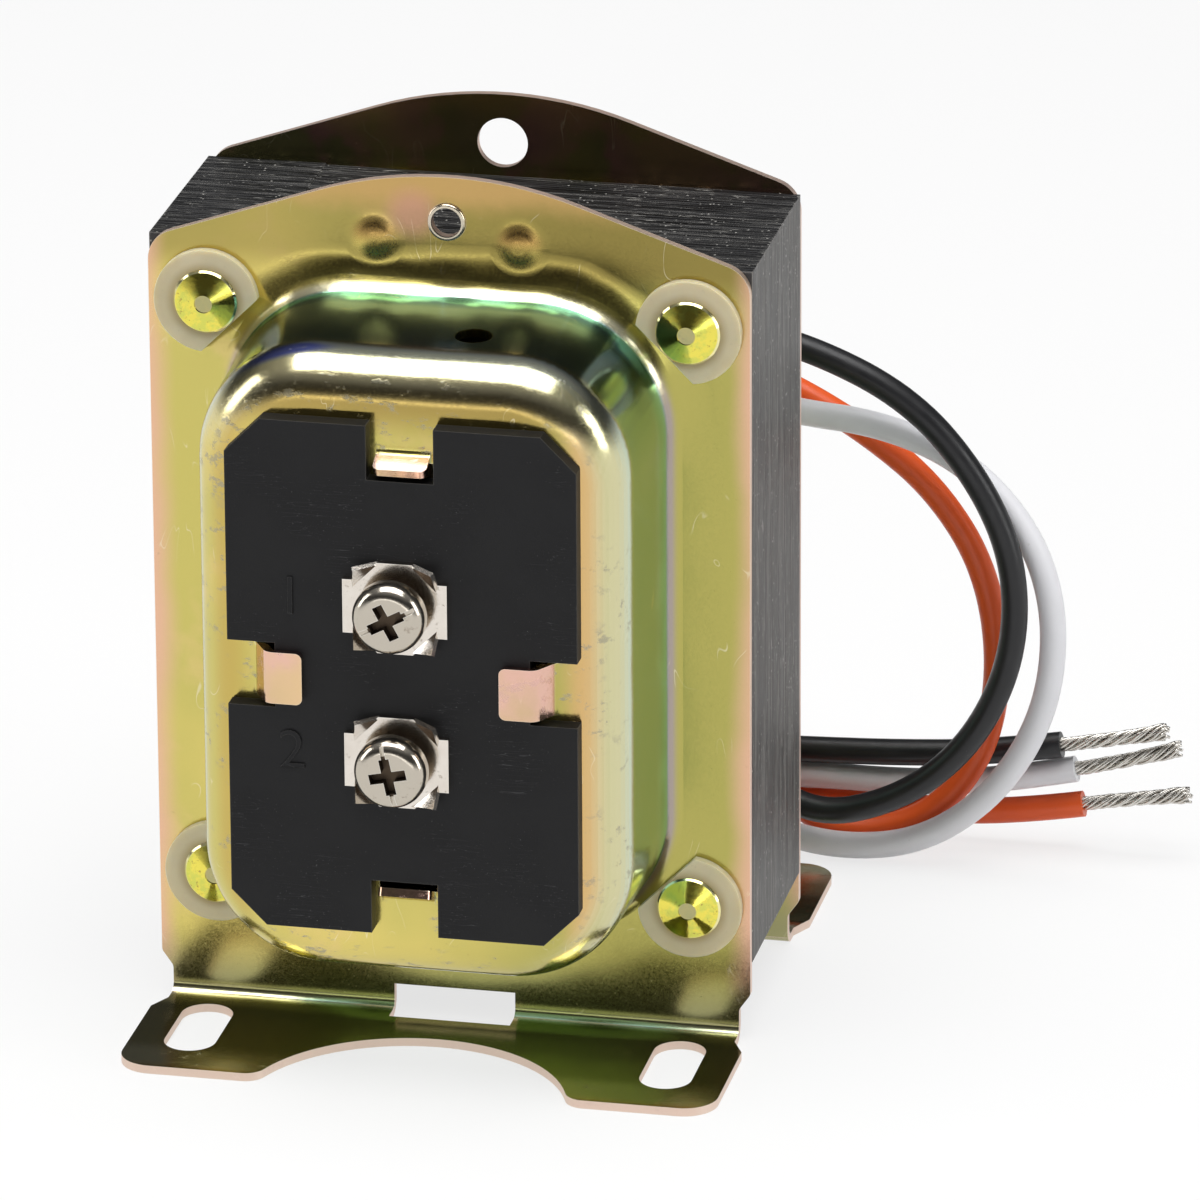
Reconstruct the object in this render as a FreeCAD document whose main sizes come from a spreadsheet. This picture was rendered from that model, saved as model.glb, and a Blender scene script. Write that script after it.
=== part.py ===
import FreeCAD, Part

import math
import os

import Sketcher
from FreeCAD import Placement, Rotation, Vector

# A foot-mounted transformer: a laminated core with a two-chamber coil between two drawn end bells.
# X runs along the core's width, Y from the terminal side (-Y) to the lead side (+Y), Z is up.
# The sketches are drawn about the core's centre; the placements lift the part onto its feet.

SIZES = [
    # The laminated core
    ("core_width", 63.5, "core across the feet, X"),
    ("core_height", 76.2, "length of the laminations, Z"),
    ("stack_depth", 25.4, "thickness of the stack, Y"),
    ("core_hole", 5.2, "bore of the corner holes in the laminations"),
    ("lamination_pitch", 0.635, "thickness of one lamination"),
    ("groove_width", 0.14, "line between two laminations"),
    ("groove_depth", 0.16, "depth of that line"),
    ("joint_overhang", 0.15, "how far the closing bars stand over the core"),
    # The coil
    ("coil_clearance", 0.3, "air around the bobbin in the core's windows"),
    ("bobbin_wall", 1.2, "nylon wall and flanges"),
    ("bobbin_leg_gap", 0.4, "air between the bobbin's flanges and the core's outer legs"),
    ("bobbin_flange_over", 0.8, "flange over the tape, Y"),
    ("winding_leg_gap", 3.9, "space between a winding and the core's outer legs"),
    ("winding_corner", 7.0, "outer corner radius of a winding"),
    ("winding_gap", 0.1, "air between a winding and its flanges"),
    ("tape_thickness", 0.3, "yellow tape over a winding"),
    ("liner_thickness", 0.4, "insulating card over the coil's ends"),
    ("liner_gap", 0.15, "air between the card and the bobbin"),
    ("liner_window_across", 28.0, "opening in the card for the wires, X"),
    ("liner_window_upright", 34.0, "opening in the card for the wires, Z"),
    # The bells' flat flange with its domed top
    ("sheet", 0.9, "sheet steel of the bells"),
    ("flange_inset", 0.05, "flange inside the core's sides"),
    ("neck_inset", 1.25, "flange at the bend over the foot, inside the core's sides"),
    ("dome_rise", 8.45, "top of the front dome over the core"),
    ("rear_dome_over", 0.5, "top of the rear dome over the front one"),
    ("dome_radius", 42.0, "round top of the dome"),
    ("dome_slope", 19.0, "slope of the dome's straight shoulders, degrees"),
    ("shoulder_radius", 3.4, "outer corner between slope and side"),
    ("eye_height", 3.65, "middle of the eye in the dome over the core"),
    ("front_eye", 3.2, "bore of the front eye"),
    ("front_eye_rim", 4.0, "outside of the front eye's turned rim"),
    ("front_eye_rim_rise", 0.4, "how far that rim stands out"),
    ("front_eye_rim_round", 0.25, "round outer edge of that rim"),
    ("rear_eye", 5.4, "bore of the rear eye, for a fixing screw"),
    ("dimple_pitch", 15.2, "the two punched dimples, X pitch"),
    ("dimple_height", 1.4, "middle of the dimples over the core"),
    ("dimple_base", 5.0, "dimple, diameter at the flange"),
    ("dimple_top", 1.6, "dimple, diameter at its top"),
    ("dimple_rise", 0.65, "dimple, how far it stands out"),
    ("dimple_top_round", 3.4, "dimple, round top"),
    ("dimple_root_round", 4.2, "dimple, round root on the flange"),
    # The bells' feet
    ("core_clearance", 8.7, "core over the surface that the feet stand on"),
    ("foot_reach", 21.5, "foot, from the core's face to its far edge"),
    ("foot_corner", 3.6, "outer corners of the foot"),
    ("bend_radius", 1.0, "inside radius of the foot's bend"),
    ("neck_rise", 3.6, "height of the neck over the standing surface"),
    ("neck_slant", 1.7, "height of the slant over the neck"),
    ("neck_reach", 3.2, "neck along the foot from the core's face"),
    ("neck_foot_slant", 2.6, "slant along the foot"),
    ("neck_corner", 0.9, "round corners of the neck"),
    ("scallop_radius", 17.0, "hollow in the foot's front edge"),
    ("scallop_offset", 4.2, "middle of the hollow in front of the edge"),
    ("scallop_corner", 2.2, "round corners where the hollow meets the edge"),
    ("slot_inset", 6.35, "middle of a fixing slot inside the foot's side"),
    ("slot_width", 5.5, "fixing slot, width"),
    ("slot_length", 12.7, "fixing slot, end to end"),
    ("slot_reach", 10.5, "middle of a slot from the core's face"),
    ("window_width", 13.0, "window at the bend, X"),
    ("window_rise", 2.6, "window over the foot's top"),
    ("window_reach", 2.7, "window along the foot from the flange"),
    # The bells' drawn cup
    ("cup_inset_across", 8.55, "cup at the flange, inside the core's sides"),
    ("cup_inset_upright", 3.5, "cup at the flange, inside the core's top and bottom"),
    ("cup_depth", 21.4, "cup, from the core's face to its flat face"),
    ("cup_drop", 0.5, "cup's middle below the core's middle"),
    ("cup_draft", 2.2, "slope of the cup's sides, degrees"),
    ("cup_corner", 13.5, "corner radius of the cup"),
    ("cup_edge", 5.5, "round edge of the cup's flat face"),
    ("cup_root", 1.5, "round root between cup and flange"),
    ("vent_hole", 3.9, "vent in the cup's top wall"),
    ("vent_offset", 5.3, "vent's middle from the cup's middle, X"),
    ("vent_reach", 12.2, "vent's middle from the core's face"),
    # The terminal board and the tabs that hold it
    ("board_inset_across", 4.9, "terminal board inside the cup at the flange, X"),
    ("board_inset_upright", 6.9, "terminal board inside the cup at the flange, Z"),
    ("board_thickness", 1.9, "terminal board, Y"),
    ("board_corner", 3.7, "cut corners of the board"),
    ("notch_width", 7.0, "notches for the tabs"),
    ("tab_width", 5.6, "lanced tabs"),
    ("tab_gap", 0.05, "air between tab and board"),
    ("side_tab_inset", 2.5, "side tab's root inside the board's side"),
    ("side_tab_length", 5.5, "side tab from its root to its tip, X"),
    ("side_tab_slope", 31.5, "lean of the side tab's rise, degrees"),
    ("end_tab_inset", 3.3, "end tab's root inside the board's end"),
    ("end_tab_over", 0.55, "end tab's tip in front of the board"),
    ("end_tab_slope", 24.0, "lean of the end tab, degrees"),
    ("tab_bend", 1.3, "outside radius of a side tab's bend"),
    ("tab_root_round", 0.8, "hollow where a tab leaves the cup's face"),
    ("tab_corner", 0.7, "round corners of a tab's tip"),
    ("notch_gap", 0.25, "air between a side tab and the end of its notch"),
    ("end_notch_gap", 0.7, "air between an end tab and the end of its notch"),
    ("access_width", 15.0, "opening in the cup behind the terminals, X"),
    ("access_height", 29.0, "opening in the cup behind the terminals, Z"),
    # The terminals
    ("terminal_pitch", 16.8, "the two terminals, Z pitch"),
    ("terminal_offset", -0.5, "terminals beside the board's middle"),
    ("plate_width", 9.3, "terminal plate, X"),
    ("plate_height", 9.8, "terminal plate, Z"),
    ("plate_wing_width", 10.9, "plate over its side wings, X"),
    ("plate_wing_height", 5.8, "side wings, Z"),
    ("plate_thickness", 0.8, "terminal plate, Y"),
    ("ear_leg", 2.8, "folded corner ears of the plate, leg"),
    ("ear_turn", 42.0, "how far an ear is folded up, degrees"),
    ("ear_thickness", 0.5, "sheet of the ears"),
    ("neck_wall", 0.6, "wall of the plate's neck in the board"),
    ("neck_flare_over", 0.9, "flare of the neck behind the board, beyond its wall"),
    ("neck_flare_thickness", 0.6, "thickness of the flare"),
    ("fit_gap", 0.1, "air between a neck or sleeve and its hole"),
    ("screw_thread", 3.5, "terminal screw, shank"),
    ("screw_thread_gap", 0.05, "air between the shank and the plate's bore"),
    ("screw_length", 8.4, "terminal screw, shank's length"),
    ("screw_head", 7.6, "terminal screw, head's diameter"),
    ("screw_head_height", 2.4, "terminal screw, head's height"),
    ("screw_head_round", 1.5, "round top edge of the head"),
    ("screw_stand_off", 1.7, "open screw's head over its plate"),
    ("drive_slot", 0.45, "slot in the head, width"),
    ("drive_slot_depth", 0.35, "slot in the head, depth"),
    ("cross_length", 3.9, "cross recess, length"),
    ("cross_width", 1.1, "cross recess, width"),
    ("cross_depth", 1.2, "cross recess, depth"),
    ("upper_screw_turn", -28.0, "how far the upper screw is turned, degrees"),
    ("lower_screw_turn", 78.0, "how far the lower screw is turned, degrees"),
    # The rivets and their insulating washers
    ("rivet_shank", 4.2, "rivet's shank"),
    ("rivet_head", 6.8, "rivet's low conical head"),
    ("rivet_rim_height", 0.35, "height of the head's rim"),
    ("rivet_rim_round", 0.2, "round outer edge of that rim"),
    ("rivet_cone_rise", 0.7, "rise of the head's cone over its rim"),
    ("rivet_nub", 1.9, "flat nub in the middle of the head"),
    ("rivet_nub_drop", 0.12, "nub under the top of the cone"),
    ("rivet_tail", 6.4, "closed end of the rivet"),
    ("rivet_tail_height", 1.3, "height of the closed end"),
    ("washer_outside", 11.0, "nylon washer"),
    ("washer_thickness", 1.0, "nylon washer"),
    ("washer_gap", 0.2, "air between a washer's flat side and the root of the cup"),
    ("washer_sleeve", 5.4, "washer's sleeve in the flange"),
    ("washer_sleeve_depth", 0.7, "length of that sleeve"),
    # The leads and what they pass through
    ("lead_diameter", 2.9, "insulated lead"),
    ("strand_diameter", 1.5, "bare twisted strands"),
    ("strand_length", 12.2, "bare strands at a lead's end"),
    ("bushing_across", -10.0, "bushing's middle, X"),
    ("bushing_drop", 12.0, "bushing's middle below the core's middle"),
    ("bushing_gap", 0.27, "air between the three leads and the bushing's bore"),
    ("bushing_wall", 1.2, "bushing in the rear cup's hole"),
    ("bushing_flange_over", 1.5, "bushing's outer flange beyond its wall"),
    ("bushing_barb_over", 0.6, "bushing's snap ring beyond its wall"),
    ("bushing_flange_thickness", 1.3, "bushing's outer flange"),
    ("bushing_barb_length", 2.2, "bushing's snap ring inside the cup"),
    ("lead_gap", 0.18, "air between two leads in the bushing"),
    ("lead_turn_inside", 5.6, "leads run straight from here inside the cup's face"),
    ("lead_end_gap", 0.1, "air between the coil's tape and a lead's end"),
    ("coil_wire", 1.1, "sleeved wires from the coil to the terminals"),
    ("coil_wire_drop", 2.0, "how far those wires shift along Z on their way"),
]


class Size:
    """A number together with the spreadsheet expression that gives it."""

    def __init__(self, number, text):
        self.number = float(number)
        self.text = text

    def join(self, other, sign, number):
        return Size(number, f"({self.text} {sign} {as_size(other).text})")

    def __add__(self, other):
        return self.join(other, "+", self.number + as_size(other).number)

    def __sub__(self, other):
        return self.join(other, "-", self.number - as_size(other).number)

    def __mul__(self, other):
        return self.join(other, "*", self.number * as_size(other).number)

    def __truediv__(self, other):
        return self.join(other, "/", self.number / as_size(other).number)

    def __neg__(self):
        return Size(-self.number, f"(-1 * {self.text})")

    def __radd__(self, other):
        return as_size(other) + self

    def __rsub__(self, other):
        return as_size(other) - self

    def __rtruediv__(self, other):
        return as_size(other) / self

    def __float__(self):
        return self.number


def as_size(value):
    return value if isinstance(value, Size) else Size(value, repr(float(value)))


def tangent(angle):
    return Size(math.tan(math.radians(angle.number)), f"tan({angle.text})")


def cosine(angle):
    return Size(math.cos(math.radians(angle.number)), f"cos({angle.text})")


def slope_of(narrowing, depth):
    """The angle in degrees at which something narrows by so much on each side over its depth."""
    ratio = narrowing / depth
    return Size(math.degrees(math.atan(ratio.number)), f"atan({ratio.text})")


doc = FreeCAD.newDocument("chassis_transformer")
sheet = doc.addObject("Spreadsheet::Sheet", "Sizes")


class Sizes:
    """The spreadsheet's sizes by name."""


size = Sizes()
for row, (alias, value, meaning) in enumerate(SIZES, start=1):
    sheet.set(f"A{row}", alias)
    sheet.set(f"B{row}", str(value))
    sheet.set(f"C{row}", meaning)
    sheet.setAlias(f"B{row}", alias)
    setattr(size, alias, Size(value, f"Sizes.{alias}"))
doc.recompute()

# Places that several pieces share, about the core's centre
core_face = size.stack_depth / 2
core_top = size.core_height / 2
core_side = size.core_width / 2
# Laminations cut without waste: legs, back and windows a sixth of the height, the middle leg a third
yoke_width = size.core_height / 6
window_half = core_side - yoke_width
tongue_half = yoke_width
leg_inside = core_top - yoke_width
rivet_across = core_side - yoke_width / 2
rivet_up = core_top - yoke_width / 2
standing = -(core_top + size.core_clearance)
flange_front = core_face + size.sheet
flange_half = core_side - size.flange_inset
neck_half = core_side - size.neck_inset
slot_across = core_side - size.slot_inset
cup_half_width = core_side - size.cup_inset_across
cup_half_height = core_top - size.cup_inset_upright
cup_face = core_face + size.cup_depth
cup_middle = -size.cup_drop
eye_middle = core_top + size.eye_height

# The board in front of the cup, its tabs and its terminals
board_half_width = cup_half_width - size.board_inset_across
board_half_height = cup_half_height - size.board_inset_upright
board_front = cup_face + size.board_thickness
side_tab_root = board_half_width - size.side_tab_inset
side_tab_tip = side_tab_root - size.side_tab_length
side_tab_lean = tangent(size.side_tab_slope)
side_tab_inside = side_tab_root - size.sheet / cosine(size.side_tab_slope)
end_tab_root = board_half_height - size.end_tab_inset
end_tab_reach = size.board_thickness + size.end_tab_over
end_tab_lean = tangent(size.end_tab_slope)
end_tab_inside = end_tab_root - size.sheet / cosine(size.end_tab_slope)
end_tab_tip = end_tab_root - end_tab_reach * end_tab_lean
plate_front = board_front + size.plate_thickness
neck_bore = size.screw_thread + size.screw_thread_gap * 2
neck_outside = neck_bore + size.neck_wall * 2
neck_flare = neck_outside + size.neck_flare_over * 2
screw_head_under = plate_front + size.screw_stand_off
screw_top = screw_head_under + size.screw_head_height

# The coil about the middle leg
bobbin_inside_depth = core_face + size.coil_clearance
bobbin_inside_height = tongue_half + size.coil_clearance
bobbin_half = window_half - size.coil_clearance
winding_inside_depth = bobbin_inside_depth + size.bobbin_wall + size.winding_gap
winding_inside_height = bobbin_inside_height + size.bobbin_wall + size.winding_gap
winding_half_height = leg_inside - size.winding_leg_gap
winding_half_depth = winding_inside_depth + winding_half_height - winding_inside_height
tape_outside = winding_half_depth + size.tape_thickness
bobbin_flange_depth = tape_outside + size.bobbin_flange_over
bobbin_flange_height = leg_inside - size.bobbin_leg_gap

# The leads and their bushing
bundle_radius = (size.lead_diameter + size.lead_gap) / math.sqrt(3)
bushing_inner = bundle_radius + size.lead_diameter / 2 + size.bushing_gap
bushing_body = bushing_inner + size.bushing_wall
bushing_outside = cup_face + size.bushing_flange_thickness
bushing_middle = -size.bushing_drop

# Front and rear reach set where the middle of the part's box lies
front_reach = float(screw_top)
rear_reach = max(float(bushing_outside), float(core_face + size.foot_reach))
LIFT = Vector(0, (front_reach - rear_reach) / 2, -float(standing))

DEPTH_AXIS = Vector(0, 1, 0)
UP_AXIS = Vector(0, 0, 1)
# How far a cut runs past the material, and how exactly an edge is looked up
BEYOND = 1.0
LEEWAY = 0.02
finished = []


# Helpers for bodies, sketches and features
def bind(thing, place, value):
    thing.setExpression(place, as_size(value).text)


def new_body(label):
    body = doc.addObject("PartDesign::Body", label)
    body.Label = label
    return body


def new_sketch(body, plane, offset=0):
    """A sketch on one of the body's own origin planes, moved along the plane's normal."""
    origin = [item for item in body.Origin.OriginFeatures if item.Role == plane][0]
    sketch = body.newObject("Sketcher::SketchObject", f"{body.Name}_sketch")
    sketch.AttachmentSupport = [(origin, "")]
    sketch.MapMode = "FlatFace"
    bind(sketch, ".AttachmentOffset.Base.z", offset)
    return sketch


def hold(sketch, kind, geometry, point, value):
    value = as_size(value)
    rule = Sketcher.Constraint(kind, -1, 1, geometry, point, value.number)
    index = sketch.addConstraint(rule)
    if "Sizes" in value.text:
        bind(sketch, f"Constraints[{index}]", value)


def add_polygon(sketch, corners):
    """A closed outline with each corner held at its two sizes."""
    corners = [(as_size(x), as_size(y)) for x, y in corners]
    points = [Vector(x.number, y.number, 0) for x, y in corners]
    first = sketch.GeometryCount
    count = len(points)
    sides = [Part.LineSegment(points[i], points[(i + 1) % count]) for i in range(count)]
    sketch.addGeometry(sides, False)
    links = [
        Sketcher.Constraint("Coincident", first + i, 2, first + (i + 1) % count, 1)
        for i in range(count)
    ]
    sketch.addConstraint(links)
    for i, (x, y) in enumerate(corners):
        hold(sketch, "DistanceX", first + i, 1, x)
        hold(sketch, "DistanceY", first + i, 1, y)


def add_rectangle(sketch, x, y, width, height):
    left, right = x - width / 2, x + width / 2
    low, high = y - height / 2, y + height / 2
    add_polygon(sketch, [(left, low), (right, low), (right, high), (left, high)])


def add_circle(sketch, x, y, diameter):
    diameter = as_size(diameter)
    middle = Vector(float(x), float(y), 0)
    circle = Part.Circle(middle, UP_AXIS, diameter.number / 2)
    index = sketch.addGeometry(circle, False)
    hold(sketch, "DistanceX", index, 3, x)
    hold(sketch, "DistanceY", index, 3, y)
    rule = sketch.addConstraint(Sketcher.Constraint("Diameter", index, diameter.number))
    bind(sketch, f"Constraints[{rule}]", diameter)


def add_slot(sketch, x, y, width, length):
    """A round-ended slot that runs along the sketch's second axis."""
    x, y = as_size(x), as_size(y)
    radius = (width / 2).number
    reach = (length - width) / 2
    low, high = y - reach, y + reach
    left, right = x.number - radius, x.number + radius
    first = sketch.GeometryCount
    low_middle = Vector(x.number, low.number, 0)
    high_middle = Vector(x.number, high.number, 0)
    high_end = Part.Circle(high_middle, UP_AXIS, radius)
    low_end = Part.Circle(low_middle, UP_AXIS, radius)
    right_side = [Vector(right, low.number, 0), Vector(right, high.number, 0)]
    left_side = [Vector(left, high.number, 0), Vector(left, low.number, 0)]
    sketch.addGeometry(Part.LineSegment(*right_side), False)
    sketch.addGeometry(Part.ArcOfCircle(high_end, 0, math.pi), False)
    sketch.addGeometry(Part.LineSegment(*left_side), False)
    sketch.addGeometry(Part.ArcOfCircle(low_end, math.pi, 2 * math.pi), False)
    for a, a_end, b, b_end in [(0, 2, 1, 1), (1, 2, 2, 1), (2, 2, 3, 1), (3, 2, 0, 1)]:
        rule = Sketcher.Constraint("Tangent", first + a, a_end, first + b, b_end)
        sketch.addConstraint(rule)
    hold(sketch, "DistanceX", first + 1, 3, x)
    hold(sketch, "DistanceY", first + 1, 3, high)
    hold(sketch, "DistanceX", first + 3, 3, x)
    hold(sketch, "DistanceY", first + 3, 3, low)
    rule = sketch.addConstraint(Sketcher.Constraint("Radius", first + 1, radius))
    bind(sketch, f"Constraints[{rule}]", width / 2)


def add_rounded_rectangle(sketch, x, y, width, height, radius):
    """A rectangle whose corners are tangent arcs of one radius."""
    x_reach, y_reach = width / 2 - radius, height / 2 - radius
    round_size = radius.number
    first = sketch.GeometryCount
    quarter = math.pi / 2
    quadrants = [(1, 1), (-1, 1), (-1, -1), (1, -1)]
    middles = [(x_reach * a + x, y_reach * b + y) for a, b in quadrants]
    for number, (mx, my) in enumerate(middles):
        circle = Part.Circle(Vector(mx.number, my.number, 0), UP_AXIS, round_size)
        arc = Part.ArcOfCircle(circle, number * quarter, (number + 1) * quarter)
        sketch.addGeometry(arc, False)
    for number in range(4):
        start = sketch.getPoint(first + number, 2)
        end = sketch.getPoint(first + (number + 1) % 4, 1)
        sketch.addGeometry(Part.LineSegment(start, end), False)
    for number in range(4):
        arc, line, next_arc = first + number, first + 4 + number, first + (number + 1) % 4
        sketch.addConstraint(Sketcher.Constraint("Tangent", arc, 2, line, 1))
        sketch.addConstraint(Sketcher.Constraint("Tangent", line, 2, next_arc, 1))
    for number, (mx, my) in enumerate(middles):
        hold(sketch, "DistanceX", first + number, 3, mx)
        hold(sketch, "DistanceY", first + number, 3, my)
    for number in (1, 2, 3):
        sketch.addConstraint(Sketcher.Constraint("Equal", first, first + number))
    rule = sketch.addConstraint(Sketcher.Constraint("Radius", first, round_size))
    bind(sketch, f"Constraints[{rule}]", radius)


def pad(body, sketch, length, taper=None):
    """Adds material from the sketch along its plane's normal."""
    feature = body.newObject("PartDesign::Pad", f"{body.Name}_pad")
    feature.Profile = sketch
    bind(feature, "Length", length)
    if taper is not None:
        bind(feature, "TaperAngle", taper)
    doc.recompute()
    return feature


def pocket(body, sketch, length, taper=None):
    """Cuts from the sketch along its plane's normal, and makes sure that it cut."""
    before = body.Shape.Volume
    feature = body.newObject("PartDesign::Pocket", f"{body.Name}_pocket")
    feature.Profile = sketch
    feature.Reversed = True
    bind(feature, "Length", length)
    if taper is not None:
        bind(feature, "TaperAngle", taper)
    doc.recompute()
    if body.Shape.Volume >= before:
        raise ValueError(f"{feature.Name} cuts nothing from {body.Label}")
    return feature


def revolve(body, sketch, axis):
    feature = body.newObject("PartDesign::Revolution", f"{body.Name}_turned")
    feature.Profile = sketch
    feature.ReferenceAxis = (sketch, [axis])
    feature.Angle = 360
    doc.recompute()
    return feature


def round_edges(body, radius, low, high):
    """Rounds each edge of the body that lies inside the box from low to high."""
    low = [float(value) - LEEWAY for value in low]
    high = [float(value) + LEEWAY for value in high]
    names = []
    base = body.Tip
    for number, edge in enumerate(base.Shape.Edges, start=1):
        box = edge.BoundBox
        fits_low = box.XMin >= low[0] and box.YMin >= low[1] and box.ZMin >= low[2]
        fits_high = box.XMax <= high[0] and box.YMax <= high[1] and box.ZMax <= high[2]
        if fits_low and fits_high:
            names.append(f"Edge{number}")
    if not names:
        raise ValueError(f"no edge to round on {body.Label}")
    feature = body.newObject("PartDesign::Fillet", f"{body.Name}_round")
    feature.Base = (base, names)
    bind(feature, "Radius", radius)
    doc.recompute()
    return feature


def keep(item, placement=Placement()):
    """Stands a finished piece in the part's frame and notes it for writing."""
    item.Placement = Placement(LIFT, Rotation()) * placement
    finished.append(item)


def keep_shape(label, shape, placement=Placement()):
    feature = doc.addObject("Part::Feature", label)
    feature.Label = label
    feature.Shape = shape
    keep(feature, placement)


TURNED = Placement(Vector(), Rotation(UP_AXIS, 180))


# The laminated core
def add_corner_holes(body, sides, diameter, offset, depth):
    for side in sides:
        for end in (-1, 1):
            sketch = new_sketch(body, "XZ_Plane", offset)
            add_circle(sketch, rivet_across * side, rivet_up * end, diameter)
            pocket(body, sketch, depth)


def add_lamination_lines(body, ring):
    """Cuts the fine line between two laminations and repeats it through the stack."""
    step = size.lamination_pitch
    first = core_face - step - size.groove_width / 2
    sketch = new_sketch(body, "XZ_Plane", -first)
    add_polygon(sketch, ring)
    line = pocket(body, sketch, size.groove_width)
    lines = body.newObject("PartDesign::LinearPattern", f"{body.Name}_lines")
    lines.Originals = [line]
    depth = [item for item in body.Origin.OriginFeatures if item.Role == "Y_Axis"][0]
    lines.Direction = (depth, [""])
    lines.Reversed = True
    bind(lines, "Length", size.stack_depth - step * 2)
    bind(lines, "Occurrences", size.stack_depth / step - 1)
    body.Tip = lines
    doc.recompute()


def make_e_laminations():
    body = new_body("core_e_laminations")
    sketch = new_sketch(body, "XZ_Plane", -core_face)
    add_polygon(sketch, [
        (core_side, -core_top),
        (core_side, core_top),
        (-window_half, core_top),
        (-window_half, leg_inside),
        (window_half, leg_inside),
        (window_half, tongue_half),
        (-window_half, tongue_half),
        (-window_half, -tongue_half),
        (window_half, -tongue_half),
        (window_half, -leg_inside),
        (-window_half, -leg_inside),
        (-window_half, -core_top),
    ])
    pad(body, sketch, size.stack_depth)
    add_corner_holes(body, (1,), size.core_hole, -core_face, size.stack_depth)
    add_lamination_lines(body, [
        (-window_half, core_top + BEYOND),
        (core_side + BEYOND, core_top + BEYOND),
        (core_side + BEYOND, -core_top - BEYOND),
        (-window_half, -core_top - BEYOND),
        (-window_half, -core_top + size.groove_depth),
        (core_side - size.groove_depth, -core_top + size.groove_depth),
        (core_side - size.groove_depth, core_top - size.groove_depth),
        (-window_half, core_top - size.groove_depth),
    ])
    keep(body)


def make_i_laminations():
    body = new_body("core_i_laminations")
    bar_half = core_top + size.joint_overhang
    sketch = new_sketch(body, "XZ_Plane", -core_face)
    add_polygon(sketch, [
        (-core_side, -bar_half),
        (-window_half, -bar_half),
        (-window_half, bar_half),
        (-core_side, bar_half),
    ])
    pad(body, sketch, size.stack_depth)
    add_corner_holes(body, (-1,), size.core_hole, -core_face, size.stack_depth)
    add_lamination_lines(body, [
        (-window_half, bar_half + BEYOND),
        (-core_side - BEYOND, bar_half + BEYOND),
        (-core_side - BEYOND, -bar_half - BEYOND),
        (-window_half, -bar_half - BEYOND),
        (-window_half, -bar_half + size.groove_depth),
        (-core_side + size.groove_depth, -bar_half + size.groove_depth),
        (-core_side + size.groove_depth, bar_half - size.groove_depth),
        (-window_half, bar_half - size.groove_depth),
    ])
    keep(body)


# The coil: a bobbin with two chambers, a winding in each, and tape over each winding
def add_ring(body, start, length, inside, outside):
    """A ring about the middle leg, from start along X; inside and outside are half (depth, height)."""
    sketch = new_sketch(body, "YZ_Plane", start)
    for half_depth, half_height in (outside, inside):
        add_rectangle(sketch, 0, 0, half_depth * 2, half_height * 2)
    pad(body, sketch, length)


def make_bobbin():
    body = new_body("bobbin")
    wall = size.bobbin_wall
    inside = (bobbin_inside_depth, bobbin_inside_height)
    tube = (bobbin_inside_depth + wall, bobbin_inside_height + wall)
    flange = (bobbin_flange_depth, bobbin_flange_height)
    add_ring(body, -bobbin_half, bobbin_half * 2, inside, tube)
    for start in (-bobbin_half, -wall / 2, bobbin_half - wall):
        add_ring(body, start, wall, inside, flange)
    keep(body)


def chamber(side):
    """Where the chamber on one side of the bobbin starts along X, and its length."""
    start = size.bobbin_wall / 2 + size.winding_gap
    end = bobbin_half - size.bobbin_wall - size.winding_gap
    return (start if side > 0 else -end), end - start


def make_winding(label, side):
    body = new_body(label)
    start, length = chamber(side)
    inside = (winding_inside_depth, winding_inside_height)
    add_ring(body, start, length, inside, (winding_half_depth, winding_half_height))
    for depth_side in (-1, 1):
        for up_side in (-1, 1):
            y = winding_half_depth * depth_side
            z = winding_half_height * up_side
            round_edges(body, size.winding_corner, (start, y, z), (start + length, y, z))
    keep(body)


def make_tape(label, side):
    """Tape around a winding: the winding's outline, one tape thickness out."""
    start, length = chamber(side)
    thickness = float(size.tape_thickness)

    def block(outward):
        half_depth = float(winding_half_depth) + outward
        half_height = float(winding_half_height) + outward
        corner = Vector(float(start), -half_depth, -half_height)
        box = Part.makeBox(float(length), 2 * half_depth, 2 * half_height, corner)
        along = [edge for edge in box.Edges if edge.BoundBox.XLength > float(length) / 2]
        return box.makeFillet(float(size.winding_corner) + outward, along)

    keep_shape(label, block(thickness).cut(block(0)))


def make_liner(label, placement=Placement()):
    """A folded card over one end of the coil, with its wings against the core."""
    body = new_body(label)
    inside_height = bobbin_flange_height + size.liner_gap
    inside_depth = bobbin_flange_depth + size.liner_gap
    outside_height = inside_height + size.liner_thickness
    outside_depth = inside_depth + size.liner_thickness
    sketch = new_sketch(body, "YZ_Plane", -bobbin_half)
    add_polygon(sketch, [
        (-core_face, -outside_height),
        (-core_face, -inside_height),
        (-inside_depth, -inside_height),
        (-inside_depth, inside_height),
        (-core_face, inside_height),
        (-core_face, outside_height),
        (-outside_depth, outside_height),
        (-outside_depth, -outside_height),
    ])
    pad(body, sketch, bobbin_half * 2)
    sketch = new_sketch(body, "XZ_Plane", inside_depth)
    across, upright = size.liner_window_across, size.liner_window_upright
    add_rectangle(sketch, 0, 0, across, upright)
    pocket(body, sketch, size.liner_thickness)
    keep(body, placement)


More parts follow.
